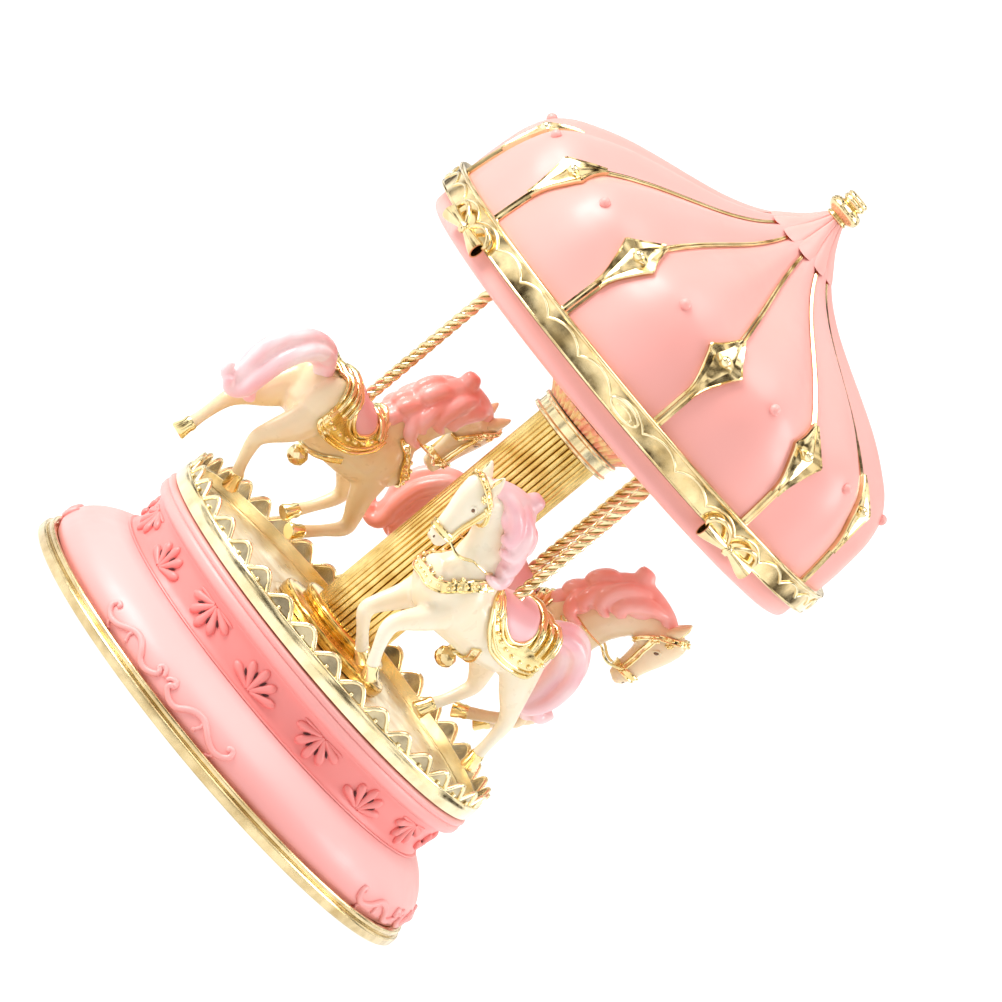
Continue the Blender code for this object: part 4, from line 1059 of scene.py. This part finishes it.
build_rim()
build_pedestal_shell()
build_palmettes()
build_scrolls()
build_deck()
build_fence()
build_column_foot()
build_column_sleeve()
build_column_ring()
build_dome()
build_ribs()
build_cap()
build_finial()
build_band()
build_band_relief()
build_ceiling()
build_hub()
for quarter in range(QUARTERS):
    build_bow(quarter + 1, BOW_START + QUARTER * quarter)
for pole_number, pole_centre in enumerate(POLES, start=1):
    build_pole(pole_number, pole_centre)
    build_ball_nut(pole_number, pole_centre)


# ---------------------------------------------------------------- horses
# A horse is built in its own frame: facing +X, with its pole along the Z axis.

HEADINGS = (50.0, 228.0, 0.0)    # degrees that each horse is turned by on its pole
PITCHES = (-1.0, 2.2, -2.5)      # degrees that each casting leans forward
SADDLE_HEIGHT = 64.0             # the middle of the saddle, about which a casting leans
HEAD_DROP = 3.3                  # how far the head comes down from its drawn place
HEAD_TUCK = 5.0                  # how far the poll then moves forward over the muzzle
FLANK = 9.0                      # distance beside the head from which harness is laid on it
PAD_REACH = 15.0                 # distance above the saddle from which pads are laid on the back
ACROSS = (0, 1, 0)
UP = (0, 0, 1)

# Stations of (x, y, z, half width, half depth): trunk, neck and head, then the legs.
BODY_LIMBS = (
    ((-17.0, 0, 66.5, 2.6, 3.6), (-14.5, 0, 66.6, 5.8, 6.8), (-9.0, 0, 66.0, 7.3, 8.4),
     (-2.0, 0, 64.4, 7.2, 8.0), (5.0, 0, 64.0, 7.2, 7.6), (12.0, 0, 64.8, 7.2, 8.4),
     (18.0, 0, 66.0, 6.2, 8.4), (22.5, 0, 66.6, 4.4, 6.4), (24.8, 0, 66.8, 2.2, 3.4)),
    ((13.0, 0, 66.0, 6.0, 8.0), (15.2, 0, 73.0, 4.9, 7.8), (16.8, 0, 80.0, 3.9, 6.4),
     (19.5, 0, 86.0, 3.3, 5.2), (24.0, 0, 89.4, 3.0, 3.6)),
    ((24.0, 0, 88.0, 3.0, 3.6), (27.2, 0, 88.0, 3.6, 5.0), (29.1, 0, 84.6, 3.1, 4.3),
     (30.2, 0, 80.6, 2.4, 3.2), (30.8, 0, 77.0, 2.3, 2.7), (30.9, 0, 74.8, 1.9, 2.1)),
)
RIGHT_FORE = ((17.0, -4.0, 62.0, 3.4, 4.4), (18.8, -4.6, 57.0, 2.6, 3.2), (22.1, -5.0, 51.9, 1.9, 2.2),
              (22.9, -5.0, 49.2, 1.75, 1.95), (19.2, -5.0, 45.9, 1.35, 1.45),
              (15.0, -5.0, 42.7, 1.45, 1.55), (13.6, -5.0, 41.7, 1.5, 1.6))
LEFT_FORE = ((16.0, 4.0, 61.6, 3.4, 4.2), (19.4, 4.6, 58.2, 2.6, 3.1), (24.4, 5.0, 54.0, 1.9, 2.2),
             (24.8, 5.0, 51.2, 1.75, 1.9), (22.0, 5.0, 46.6, 1.35, 1.45),
             (19.6, 5.0, 43.6, 1.45, 1.55), (18.6, 5.0, 42.7, 1.5, 1.6))
RIGHT_HIND = ((-10.4, -4.0, 66.0, 3.8, 6.0), (-13.2, -4.6, 59.6, 3.1, 4.6),
              (-17.4, -4.8, 53.8, 2.1, 2.6), (-18.3, -4.8, 50.8, 1.7, 2.0),
              (-15.7, -4.8, 45.4, 1.35, 1.45), (-13.5, -4.8, 42.4, 1.5, 1.6))
LEFT_HIND = ((-12.0, 4.0, 66.0, 3.8, 5.8), (-17.0, 4.6, 59.6, 3.1, 4.2), (-21.4, 4.8, 54.8, 2.1, 2.5),
             (-23.8, 4.8, 51.4, 1.7, 2.0), (-24.8, 4.8, 46.0, 1.35, 1.45),
             (-25.3, 4.8, 42.4, 1.5, 1.6))
LEGS = (RIGHT_FORE, LEFT_FORE, RIGHT_HIND, LEFT_HIND)
# Top and bottom of each hoof.
HOOVES = (((14.6, -5.0, 42.4), (11.4, -5.0, 40.4)), ((19.6, 5.0, 43.5), (17.0, 5.0, 40.6)),
          ((-13.9, -4.8, 43.0), (-11.9, -4.8, 39.1)), ((-25.2, 4.8, 42.9), (-26.2, 4.8, 38.9)))
# Centre and radii of swellings, mirrored on both sides.
MUSCLES = (((14.5, 4.2, 65.5), (5.0, 3.2, 6.6)), ((-11.5, 4.3, 67.0), (6.2, 3.6, 7.2)),
           ((21.6, 2.2, 65.6), (3.6, 3.2, 4.6)), ((26.2, 1.9, 86.8), (3.3, 1.5, 3.6)),
           ((31.2, 0.9, 75.4), (1.5, 1.2, 1.4)), ((28.9, 2.2, 88.4), (1.4, 0.9, 1.0)))


def ramp_up(value, start, length, limit=1.0):
    """A share that grows from 0 at start to 1 after a length, and stops at a limit."""
    return min(max((value - start) / length, 0.0), limit)


def eased(share):
    """A share from 0 to 1 that starts and ends softly."""
    return share * share * (3.0 - 2.0 * share)


def arched(shape):
    """Arch the neck: the head, neck and mane come down a little and the poll moves forward."""
    for vertex in shape.verts:
        if vertex.x > 4.0 and vertex.z > 66.0:
            neck = eased(ramp_up(vertex.z, 70.0, 17.0))
            face = eased(ramp_up(vertex.x, 21.0, 7.0)) * ramp_up(vertex.z, 68.5, 3.5)
            vertex.z -= HEAD_DROP * max(neck, face)
            upright = ramp_up(vertex.z, 72.0, 14.0, 1.15)
            front = 0.5 + 0.5 * ramp_up(vertex.x, 14.0, 10.0)
            vertex.x += HEAD_TUCK * upright ** 1.3 * front
    return shape


def loft(shape, stations, sides=16):
    """A closed body through stations of (x, y, z, half width, half depth)."""
    dense = spline([tuple(float(v) for v in station) for station in stations], 4)
    centres = [Vector(station[:3]) for station in dense]
    rows = []
    for i, station in enumerate(dense):
        along = (centres[min(i + 1, len(centres) - 1)] - centres[max(i - 1, 0)]).normalized()
        across = (Vector((0.0, 1.0, 0.0)) - along * along.y).normalized()
        deep = across.cross(along)
        rows.append([centres[i] + across * station[3] * math.cos(2.0 * math.pi * k / sides)
                     + deep * station[4] * math.sin(2.0 * math.pi * k / sides)
                     for k in range(sides)])
    start = shape.grid(rows, close_columns=True)
    shape.cap(start, sides, flip=True)
    shape.cap(start + (len(rows) - 1) * sides, sides)


def merged(shape, voxel, rounds):
    """Fuse everything in a shape into one skin, like a single casting."""
    mesh = bpy.data.meshes.new("casting")
    mesh.from_pydata(shape.verts, [], shape.faces)
    mend(mesh)
    rough = bpy.data.objects.new("casting", mesh)
    bpy.context.scene.collection.objects.link(rough)
    skin = rough.modifiers.new("skin", "REMESH")
    skin.mode = "VOXEL"
    skin.voxel_size = voxel
    smooth = rough.modifiers.new("smooth", "SMOOTH")
    smooth.factor = 0.5
    smooth.iterations = rounds
    fine = bpy.data.meshes.new_from_object(rough.evaluated_get(bpy.context.evaluated_depsgraph_get()))
    result = Shape()
    result.verts = [v.co.copy() for v in fine.vertices]
    result.faces = [tuple(face.vertices) for face in fine.polygons]
    bpy.data.objects.remove(rough)
    bpy.data.meshes.remove(mesh)
    bpy.data.meshes.remove(fine)
    return result


def horse_body():
    """Trunk, neck, head and legs in one skin, with muscles set into it."""
    shape = Shape()
    for stations in BODY_LIMBS + LEGS:
        loft(shape, stations)
    for centre, radii in MUSCLES:
        for side in SIDES:
            shape.ball((centre[0], side * centre[1], centre[2]), radii, rings=12, sides=18)
    return merged(shape, 0.5, 5)


# Centre and radii of the swellings under the locks, and radii along the knot on top.
MANE_BULK = (((18.0, 2.8, 89.4), (3.8, 1.8, 2.9)), ((14.6, 3.1, 84.8), (3.1, 1.9, 4.0)),
             ((12.9, 3.5, 79.0), (2.3, 1.9, 4.0)))
TOPKNOT = (2.1, 2.2, 2.3, 2.3, 2.3, 2.2, 2.1, 2.0, 1.8, 1.5, 1.0)


def horse_mane():
    """Crest with rolling locks on both sides and a knot standing on top."""
    shape = Shape()
    crest = [(25.5, 0, 91.2), (21.5, 0, 92.6), (17.2, 0, 92.6), (13.6, 0, 90.2), (12.0, 0, 86.4),
             (11.6, 0, 81.4), (11.4, 0, 76.6), (12.2, 0, 73.4)]
    crest = spline(crest, 5)
    shape.tube(crest, [1.5 + 1.3 * math.sin(math.pi * min(1.0, 0.12 + i / 38.0))
                       for i in range(len(crest))], sides=14)
    shape.tube(spline([(17.0, 0, 92.0), (15.6, 0, 94.4), (15.0, 0, 97.0)], 5), TOPKNOT, sides=14)
    locks = (
        ((22.4, 1.2, 92.4), (19.6, 3.5, 91.2), (17.6, 4.5, 88.4), (17.8, 4.8, 86.0), (19.6, 4.7, 85.4)),
        ((18.2, 2.0, 92.8), (15.2, 4.0, 90.4), (14.2, 4.8, 86.6), (15.1, 5.1, 83.4), (18.0, 5.1, 82.4)),
        ((14.2, 1.8, 89.6), (12.6, 3.8, 86.0), (12.3, 4.7, 82.4), (12.9, 5.1, 79.6), (14.8, 5.4, 78.6)),
        ((12.6, 1.6, 84.2), (11.4, 3.4, 80.6), (11.9, 4.9, 77.2), (13.4, 5.6, 74.8), (16.8, 5.9, 74.6)),
        ((13.0, 1.0, 90.2), (10.8, 1.5, 89.4), (9.6, 1.5, 86.9), (9.7, 1.1, 84.9), (8.5, 0.8, 84.4)),
        ((11.6, 0.9, 84.4), (9.6, 1.4, 82.8), (8.7, 1.5, 80.1), (8.9, 1.2, 77.9), (7.8, 0.9, 77.2)),
        ((11.4, 0.9, 78.8), (9.4, 1.4, 76.8), (8.8, 1.5, 74.6), (9.6, 1.3, 73.0), (9.4, 1.1, 72.2)),
    )
    for lock in locks:
        for side in SIDES:
            path = spline([(x, side * y, z) for x, y, z in lock], 6)
            count = len(path)
            shape.tube(path, [1.75 * math.sin(math.pi * (0.22 + 0.68 * i / (count - 1))) ** 0.8 + 0.25
                              for i in range(count)], sides=10)
    for side in SIDES:
        for centre, radii in MANE_BULK:
            shape.ball((centre[0], side * centre[1], centre[2]), radii, rings=12, sides=16)
    return merged(shape, 0.42, 3)


def horse_tail():
    """Arched tail of four strands with curled ends."""
    strands = (
        ((-14.0, 0, 70.5), (-18.8, 0, 75.4), (-25.8, 0, 75.2), (-31.4, 0, 70.6), (-33.0, 0, 65.0),
         (-31.9, 0, 60.6), (-32.3, 0.3, 57.4), (-34.8, 0.6, 56.8), (-36.2, 0.9, 59.4)),
        ((-14.0, 0, 69.0), (-18.8, 0, 72.4), (-24.0, 0, 71.6), (-27.2, 0, 67.2), (-27.8, 0, 61.8),
         (-27.0, 0, 58.0), (-25.2, 0, 56.4), (-23.8, 0, 56.8)),
        ((-14.0, 0.6, 70.0), (-18.8, 1.7, 74.2), (-25.0, 2.5, 73.6), (-29.4, 2.9, 68.4),
         (-30.4, 2.8, 62.6), (-29.6, 2.2, 58.8), (-28.2, 1.6, 56.6), (-26.2, 1.2, 56.0)),
        ((-14.0, -0.6, 70.0), (-18.8, -1.7, 74.2), (-25.0, -2.5, 73.6), (-29.4, -2.9, 68.4),
         (-30.4, -2.8, 62.4), (-30.0, -2.2, 58.2), (-30.8, -1.6, 55.8), (-33.0, -1.2, 55.2),
         (-34.8, -1.0, 57.0)),
    )
    shape = Shape()
    for strand in strands:
        path = spline(strand, 6)
        count = len(path)
        shape.tube(path, [0.35 + 1.75 * math.sin(math.pi * (0.18 + 0.73 * i / (count - 1))) ** 0.7
                          for i in range(count)], sides=12)
    return merged(shape, 0.42, 2)


class Tack:
    """Gilt harness laid over the surface of the horse's body."""

    def __init__(self, body):
        self.surface = BVHTree.FromPolygons(body.verts, body.faces)
        self.gilt = Shape()

    def hit(self, origin, target, lift):
        """The point where a line from origin to target meets the body, lifted off it."""
        origin = Vector(origin)
        aim = (Vector(target) - origin).normalized()
        spot, normal, _, _ = self.surface.ray_cast(origin, aim)
        if spot is None:
            return Vector(target), -aim
        if normal.dot(aim) > 0.0:
            normal = -normal
        return spot + normal * lift, normal

    def loop(self, centre, first, second, angles, lift, far=16.0):
        """Points round a section: angle 0 along first, 90 along second."""
        centre = Vector(centre)
        first = Vector(first).normalized()
        second = Vector(second).normalized()
        points = []
        normals = []
        for angle in angles:
            turn = math.radians(angle)
            way = first * math.cos(turn) + second * math.sin(turn)
            spot, normal = self.hit(centre + way * far, centre, lift)
            points.append(spot)
            normals.append(normal)
        return points, normals

    def strap(self, points, normals, width, bead=0.42):
        """Flat band with a raised line on both edges and a row of beads down the middle."""
        rows = []
        edges = ([], [])
        count = len(points)
        for i, point in enumerate(points):
            along = (points[min(i + 1, count - 1)] - points[max(i - 1, 0)]).normalized()
            across = along.cross(normals[i]).normalized() * 0.5 * width
            under = point - normals[i] * 0.3
            over = point + normals[i] * 0.18
            rows.append([under - across, under + across, over + across, over - across])
            edges[0].append(over - across)
            edges[1].append(over + across)
        start = self.gilt.grid(rows, close_columns=True)
        self.gilt.cap(start, 4)
        self.gilt.cap(start + (count - 1) * 4, 4)
        for line in edges:
            self.gilt.tube(line, 0.27, sides=6)
        if bead:
            travelled = 0.0
            for i in range(1, count):
                travelled += (points[i] - points[i - 1]).length
                if travelled > 2.9 * bead:
                    self.gilt.ball(points[i] + normals[i] * 0.25, bead, rings=6, sides=8)
                    travelled = 0.0

    def girth(self, centre, first, angles, lift, width, bead=0.42, far=16.0):
        """A strap round a section; returns its points and normals."""
        points, normals = self.loop(centre, first, ACROSS, angles, lift, far)
        self.strap(points, normals, width, bead)
        return points, normals

    def laid(self, side, line, lift):
        """Spots and normals where a line of (x, z) meets one side of the head."""
        return [self.hit((x, side * FLANK, z), (x, 0.0, z), lift) for x, z in line]

    def saddle_spot(self, x, degrees, lift):
        """The point on the back at x, at an angle from straight up about the saddle's middle."""
        turn = math.radians(degrees)
        origin = (x, PAD_REACH * math.sin(turn), SADDLE_HEIGHT + PAD_REACH * math.cos(turn))
        return self.hit(origin, (x, 0.0, SADDLE_HEIGHT), lift)[0]

    def pad(self, shape, widths, lift, puff=0.0):
        """Blanket over the back: widths is (x, half angle) from rear to front."""
        table = spline(widths, 4)
        steps = 24
        rows = []
        for index, (x, half) in enumerate(table):
            ends = min(index, len(table) - 1 - index) / (0.5 * len(table))
            upper = []
            under = []
            for k in range(steps + 1):
                share = 2.0 * k / steps - 1.0
                swell = puff * math.sqrt(max(0.0, 1.0 - share * share)) * min(1.0, 2.0 * ends)
                upper.append(self.saddle_spot(x, half * share, lift + swell))
                under.append(self.saddle_spot(x, half * share, -0.4))
            rows.append(upper + under[::-1])
        start = shape.grid(rows, close_columns=True)
        around = 2 * (steps + 1)
        shape.cap(start, around)
        shape.cap(start + (len(rows) - 1) * around, around)

    def border(self, widths, inset, lift, radius=0.0, beads=0.0):
        """A raised line (or a row of beads) along both lower edges of a pad."""
        for side in SIDES:
            line = [self.saddle_spot(x, side * (half - inset), lift) for x, half in spline(widths, 5)]
            if beads:
                for spot in line[2:-2:3]:
                    self.gilt.ball(spot, beads, rings=6, sides=8)
            else:
                self.gilt.tube(line, radius, sides=8)


# x along the back and half angle over it, from rear to front.
BLANKET = ((-13.0, 84.0), (-12.4, 97.0), (-9.0, 105.0), (-4.0, 107.0), (0.6, 101.0), (4.4, 86.0),
           (7.2, 66.0), (8.8, 46.0))
SEAT = ((-6.8, 26.0), (-6.3, 42.0), (-4.6, 56.0), (-1.4, 64.0), (1.8, 58.0), (3.9, 43.0), (4.8, 28.0))


# x, half angle, lift and radius of each roll over the back.
ROLLS = ((6.2, 52.0, 1.2, 1.15), (7.8, 46.0, 0.9, 0.7), (-7.9, 58.0, 1.3, 1.1),
         (-9.8, 62.0, 1.0, 0.7), (-12.0, 60.0, 1.0, 1.0), (-13.3, 52.0, 0.9, 0.65))
# x, z and size of each rosette on the bridle.
ROSETTES = ((26.3, 87.6, 1.15), (29.9, 77.7, 0.95), (28.8, 88.9, 0.8))


def saddle(tack):
    """Gilt blanket with rolls before and behind, and the painted seat, which is returned."""
    tack.pad(tack.gilt, BLANKET, 0.55)
    tack.border(BLANKET, 1.0, 0.65, 0.50)
    tack.border(BLANKET, 11.0, 0.75, 0.32)
    tack.border(BLANKET, 23.0, 0.65, beads=0.55)
    tack.border(SEAT, -2.0, 1.0, 0.52)
    tack.border(SEAT, -10.0, 0.8, 0.36)
    seat = Shape()
    tack.pad(seat, SEAT, 1.0, puff=0.9)
    for x, reach_angle, lift, radius in ROLLS:
        angles = [-reach_angle + reach_angle / 10.0 * k for k in range(21)]
        roll, _ = tack.loop((x, 0.0, SADDLE_HEIGHT), UP, ACROSS, angles, lift)
        radii = [radius * (0.55 + 0.45 * math.cos(math.radians(a * 90.0 / reach_angle)))
                 for a in angles]
        tack.gilt.tube(roll, radii, sides=10)
    tack.gilt.ball((6.6, 0.0, 73.4), (1.5, 2.0, 1.5), rings=8)
    return seat


def straps(tack):
    """Beaded breast strap with hanging drops, girth, and a strap down the croup."""
    points, normals = tack.girth((16.0, 0.0, 71.4), (9.0, 0.0, -6.6),
                                 [-128.0 + 4.0 * k for k in range(65)], 0.45, 2.3)
    for index in range(20, 45, 3):
        drop = normals[index].cross(points[index + 1] - points[index - 1]).normalized()
        tack.gilt.ball(points[index] + drop * 1.7, 0.55, rings=6, sides=8)
    tack.girth((2.6, 0.0, 60.4), (-4.5, 0.0, -4.2), [-96.0 + 4.0 * k for k in range(49)], 0.4,
               2.0, bead=0.0)
    croup = [tack.hit((x, 0.0, 90.0), (x, 0.0, 60.0), 0.45)
             for x in [-12.6 - 0.5 * k for k in range(8)]]
    tack.strap(*zip(*croup), 2.4, bead=0.5)


def rosette(tack, side, x, z, size):
    """A small flower of six beads round a centre, on the side of the head."""
    spot, normal = tack.laid(side, [(x, z)], 0.4)[0]
    tack.gilt.ball(spot + normal * 0.2, 0.5 * size, rings=6, sides=10)
    across = normal.cross(Vector(UP)).normalized()
    lift = across.cross(normal)
    for k in range(6):
        angle = math.pi * k / 3.0
        petal = spot + (across * math.cos(angle) + lift * math.sin(angle)) * size * 0.75
        tack.gilt.ball(petal, 0.4 * size, rings=6, sides=8)


def bridle(tack):
    """Nose band, brow band, cheek and throat straps, rosettes, reins and the gilt inner ears."""
    tack.girth((30.7, 0.0, 77.6), (1, 0, 0), [6.0 * k for k in range(61)], 0.3, 1.3, bead=0.0,
               far=4.2)
    tack.girth((26.6, 0.0, 88.9), (0.8, 0, 0.6), [-100.0 + 5.0 * k for k in range(41)], 0.35, 1.3,
               bead=0.38, far=6.5)
    for side in SIDES:
        cheek = spline([(26.4, 87.4), (27.6, 84.4), (29.0, 81.2), (29.9, 78.0)], 5)
        tack.strap(*zip(*tack.laid(side, cheek, 0.3)), 1.0, bead=0.0)
        throat = spline([(26.0, 88.0), (24.8, 85.6), (24.8, 83.6)], 5)
        tack.strap(*zip(*tack.laid(side, throat, 0.3)), 0.9, bead=0.0)
        for x, z, size in ROSETTES:
            rosette(tack, side, x, z, size)
        rein = spline([(29.8, side * 2.7, 77.4), (25.0, side * 4.9, 75.6), (18.6, side * 6.3, 75.4),
                       (12.8, side * 2.4, 76.2)], 6)
        tack.gilt.tube(rein, 0.36, sides=6)
        inner_ear = spline([(27.2, side * 2.3, 91.4), (28.0, side * 2.8, 93.4),
                            (28.2, side * 3.1, 95.0)], 4)
        tack.gilt.tube(inner_ear, [0.95 - 0.8 * k / 8.0 for k in range(9)], sides=8)


def gilt_hooves(tack):
    """A flared hoof with a raised band at its top on each leg."""
    for top, bottom in HOOVES:
        top = Vector(top)
        bottom = Vector(bottom)
        line = [top.lerp(bottom, share) for share in (0.0, 0.2, 0.35, 0.9, 1.0)]
        tack.gilt.tube(line, [1.55, 1.75, 1.6, 2.05, 1.8], sides=16)


def horse_features(tack):
    """Ears and eyelids in the body colour, and dark eyes and nostrils."""
    ears = Shape()
    eyes = Shape()
    for side in SIDES:
        ear = spline([(26.2, side * 1.7, 90.4), (26.8, side * 2.2, 92.0), (27.5, side * 2.7, 93.8),
                      (28.0, side * 3.1, 95.3)], 4)
        ears.tube(ear, [1.35, 1.45, 1.5, 1.52, 1.5, 1.42, 1.3, 1.15, 1.0, 0.8, 0.6, 0.4, 0.12],
                  sides=12)
        eye, _ = tack.laid(side, [(29.6, 85.6)], -0.25)[0]
        eyes.ball(eye, (0.62, 0.5, 0.52), rings=8, sides=12)
        lid = spline([(28.6, 85.4), (29.5, 86.4), (30.5, 85.9)], 4)
        ears.tube([spot for spot, _ in tack.laid(side, lid, 0.05)],
                  [0.18, 0.26, 0.32, 0.34, 0.34, 0.34, 0.3, 0.24, 0.15], sides=6)
        nostril, _ = tack.hit((34.0, side * 1.1, 75.6), (30.0, side * 0.9, 75.6), -0.12)
        eyes.ball(nostril, (0.28, 0.28, 0.4), rings=6, sides=8)
    return ears, eyes


def placed(shape, number):
    """Copy a horse shape to where horse number stands, rocked a little on its pole."""
    centre = POLES[number - 1]
    turn = Matrix.Rotation(math.radians(HEADINGS[number - 1]), 3, "Z")
    rock = Matrix.Rotation(math.radians(PITCHES[number - 1]), 3, "Y")
    middle = Vector((0.0, 0.0, SADDLE_HEIGHT))
    copy = Shape()
    copy.verts = [turn @ (rock @ (v - middle) + middle) + Vector((centre.x, centre.y, 0.0))
                  for v in shape.verts]
    copy.faces = shape.faces
    return copy



def build_horses():
    """Three copies of one casting; horses 1 and 3 get darker, tanner coats than horse 2, and the manes
    and tails differ.
    """
    body = horse_body()
    mane = arched(horse_mane())
    tail = horse_tail()
    tack = Tack(body)
    seat = saddle(tack)
    straps(tack)
    bridle(tack)
    gilt_hooves(tack)
    ears, eyes = horse_features(tack)
    for shape in (body, ears, eyes, tack.gilt):
        arched(shape)
    # Horses 1 and 3 get darker, tanner coats than horse 2.
    coats = (enamel("ivory_1", (0.90, 0.67, 0.37), (0.95, 0.80, 0.54)),
             enamel("ivory_2", (0.94, 0.80, 0.58), (0.97, 0.88, 0.70)),
             enamel("ivory_3", (0.90, 0.68, 0.40), (0.95, 0.78, 0.54)))
    salmon = hair("mane_salmon", (0.95, 0.33, 0.27), (0.97, 0.50, 0.46), (1.0, 1.0, 0.5))
    pale = hair("mane_pale", (0.94, 0.50, 0.54), (0.97, 0.70, 0.70), (1.0, 1.0, 0.5))
    streaks_and_sheen = hair("tail_streaks_and_sheen", (0.95, 0.48, 0.50), (0.98, 0.82, 0.82), (1.0, 1.0, 0.3))
    manes = (salmon, pale, salmon)
    tails = (streaks_and_sheen, pale, salmon)
    seat_paint = lacquer("seat_pink", (0.94, 0.45, 0.48), (0.97, 0.56, 0.58))
    eye_paint = lacquer("eye_brown", (0.16, 0.07, 0.03), (0.26, 0.12, 0.05), 0.15, 0.4)
    for number, coat, mane_paint, tail_paint in zip((1, 2, 3), coats, manes, tails):
        rider = "horse_%d" % number
        for part, shape, paint, slot, crease in (
                ("body", body, coat, "horse_ivory", 80.0), ("ears", ears, coat, "horse_ivory", 80.0),
                ("eyes", eyes, eye_paint, "horse_ivory", 80.0),
                ("mane", mane, mane_paint, "horse_ivory", 80.0),
                ("tail", tail, tail_paint, "horse_ivory", 80.0),
                ("seat", seat, seat_paint, "horse_ivory", 60.0),
                ("tack", tack.gilt, TACK_GOLD, "gilt", 50.0)):
            placed(shape, number).piece("horse_%s_%d" % (part, number), paint, rider, slot,
                                        [rider] if part == "body" else (), crease)


build_horses()


# ---------------------------------------------------------------- plain frame parts

def paint_node(name, material):
    """Give a CAD node that stays as it is its material."""
    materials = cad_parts[name].data.materials
    materials.clear()
    materials.append(material)


for node_name in ("base_plate", "mainspring", "drive_shaft", "key_arbor", "comb", "cylinder_pinion",
                  "fly", "hub_nut"):
    paint_node(node_name, STEEL)
for node_name in ("shaft_bush", "bedplate", "spring_barrel", "barrel_cover", "crown_wheel",
                  "winding_key", "pin_cylinder", "cylinder_wheel", "cylinder_bridge_inner",
                  "cylinder_bridge_outer", "comb_block", "governor_frame"):
    paint_node(node_name, BRASS)
for group, count in (("base_screw", 4), ("movement_screw", 3), ("comb_screw", 2), ("pole_nut", 3)):
    for number in range(1, count + 1):
        paint_node("%s_%d" % (group, number), STEEL)


# ---------------------------------------------------------------- studio

FLOOR_SIZE = 1.8
FLOOR_DEPTH = 0.0002         # how far the floor lies below the part, so that the two don't touch
ROOM_GREY = (0.42, 0.42, 0.42)
BACKDROP_WHITE = (1.2, 1.2, 1.2)
GOLD_SURROUNDINGS = ((0.41, (0.03, 0.02, 0.01)), (0.47, (0.36, 0.32, 0.24)), (0.53, (1.5, 1.45, 1.35)))
STUDIO_LIGHTS = (            # name, place, size and power, in metres and watts
    ("key_light", (-1.25, -0.30, 0.85), 0.8, 22.0),
    ("rim_light", (1.2, 0.1, 0.8), 0.7, 9.0),
    ("top_light", (0.0, -0.3, 1.4), 0.8, 7.0),
)
LIGHT_TARGET = Vector((0.0, 0.0, 0.1))
CAMERA_PLACE = Vector((0.0007, -1.5135, 0.2234))
CAMERA_TARGET = Vector((0.0007, 0.0, 0.0815))
CAMERA_ROLL = 50.3           # degrees
CAMERA_LENS = 249.6


def build_studio():
    """Pale floor, bright surroundings for the eye, patchy ones for the gold, and three soft lights."""
    bpy.ops.mesh.primitive_plane_add(size=FLOOR_SIZE, location=(0.0, 0.0, -FLOOR_DEPTH))
    floor = bpy.context.object
    floor.name = "studio_floor"
    finish = Finish("studio_white", (0.30, 0.30, 0.30), 0.7, Specular_IOR_Level=0.0,
                    Emission_Color=(1.0, 1.0, 1.0, 1.0), Emission_Strength=0.92)
    floor.data.materials.append(finish.material)

    world = bpy.data.worlds.new("studio_world")
    bpy.context.scene.world = world
    world.use_nodes = True
    tree = world.node_tree
    place = add_node(tree, "TexCoord").outputs["Generated"]
    stretched = add_node(tree, "Mapping", Vector=place, Scale=(1.0, 1.0, 2.6)).outputs["Vector"]
    patches = add_node(tree, "TexNoise", Vector=stretched, Scale=3.4, Detail=1.0).outputs["Fac"]
    path = add_node(tree, "LightPath")
    for_light = add_node(tree, "Mix", {"data_type": "RGBA"}, Factor=path.outputs["Is Glossy Ray"],
                         A=(*ROOM_GREY, 1.0), B=add_ramp(tree, patches, GOLD_SURROUNDINGS))
    seen = add_node(tree, "Mix", {"data_type": "RGBA"}, Factor=path.outputs["Is Camera Ray"],
                    A=for_light.outputs["Result"], B=(*BACKDROP_WHITE, 1.0))
    tree.links.new(seen.outputs["Result"], tree.nodes["Background"].inputs["Color"])

    for name, place_at, size, power in STUDIO_LIGHTS:
        light = bpy.data.lights.new(name, "AREA")
        light.size = size
        light.energy = power
        lamp = bpy.data.objects.new(name, light)
        lamp.location = place_at
        aim = LIGHT_TARGET - Vector(place_at)
        lamp.rotation_euler = aim.to_track_quat("-Z", "Y").to_euler()
        bpy.context.scene.collection.objects.link(lamp)


def build_camera():
    """Long lens a little above the deck, rolled so that the box leans to the right."""
    lens = bpy.data.cameras.new("photo_camera")
    lens.lens = CAMERA_LENS
    lens.sensor_width = 36.0
    lens.clip_end = 20.0
    camera = bpy.data.objects.new("photo_camera", lens)
    aim = (CAMERA_TARGET - CAMERA_PLACE).to_track_quat("-Z", "Y").to_matrix()
    turn = aim @ Matrix.Rotation(math.radians(CAMERA_ROLL), 3, "Z")
    camera.matrix_world = Matrix.Translation(CAMERA_PLACE) @ turn.to_4x4()
    bpy.context.scene.collection.objects.link(camera)
    bpy.context.scene.camera = camera
    bpy.context.scene.view_settings.view_transform = "Standard"


build_studio()
build_camera()
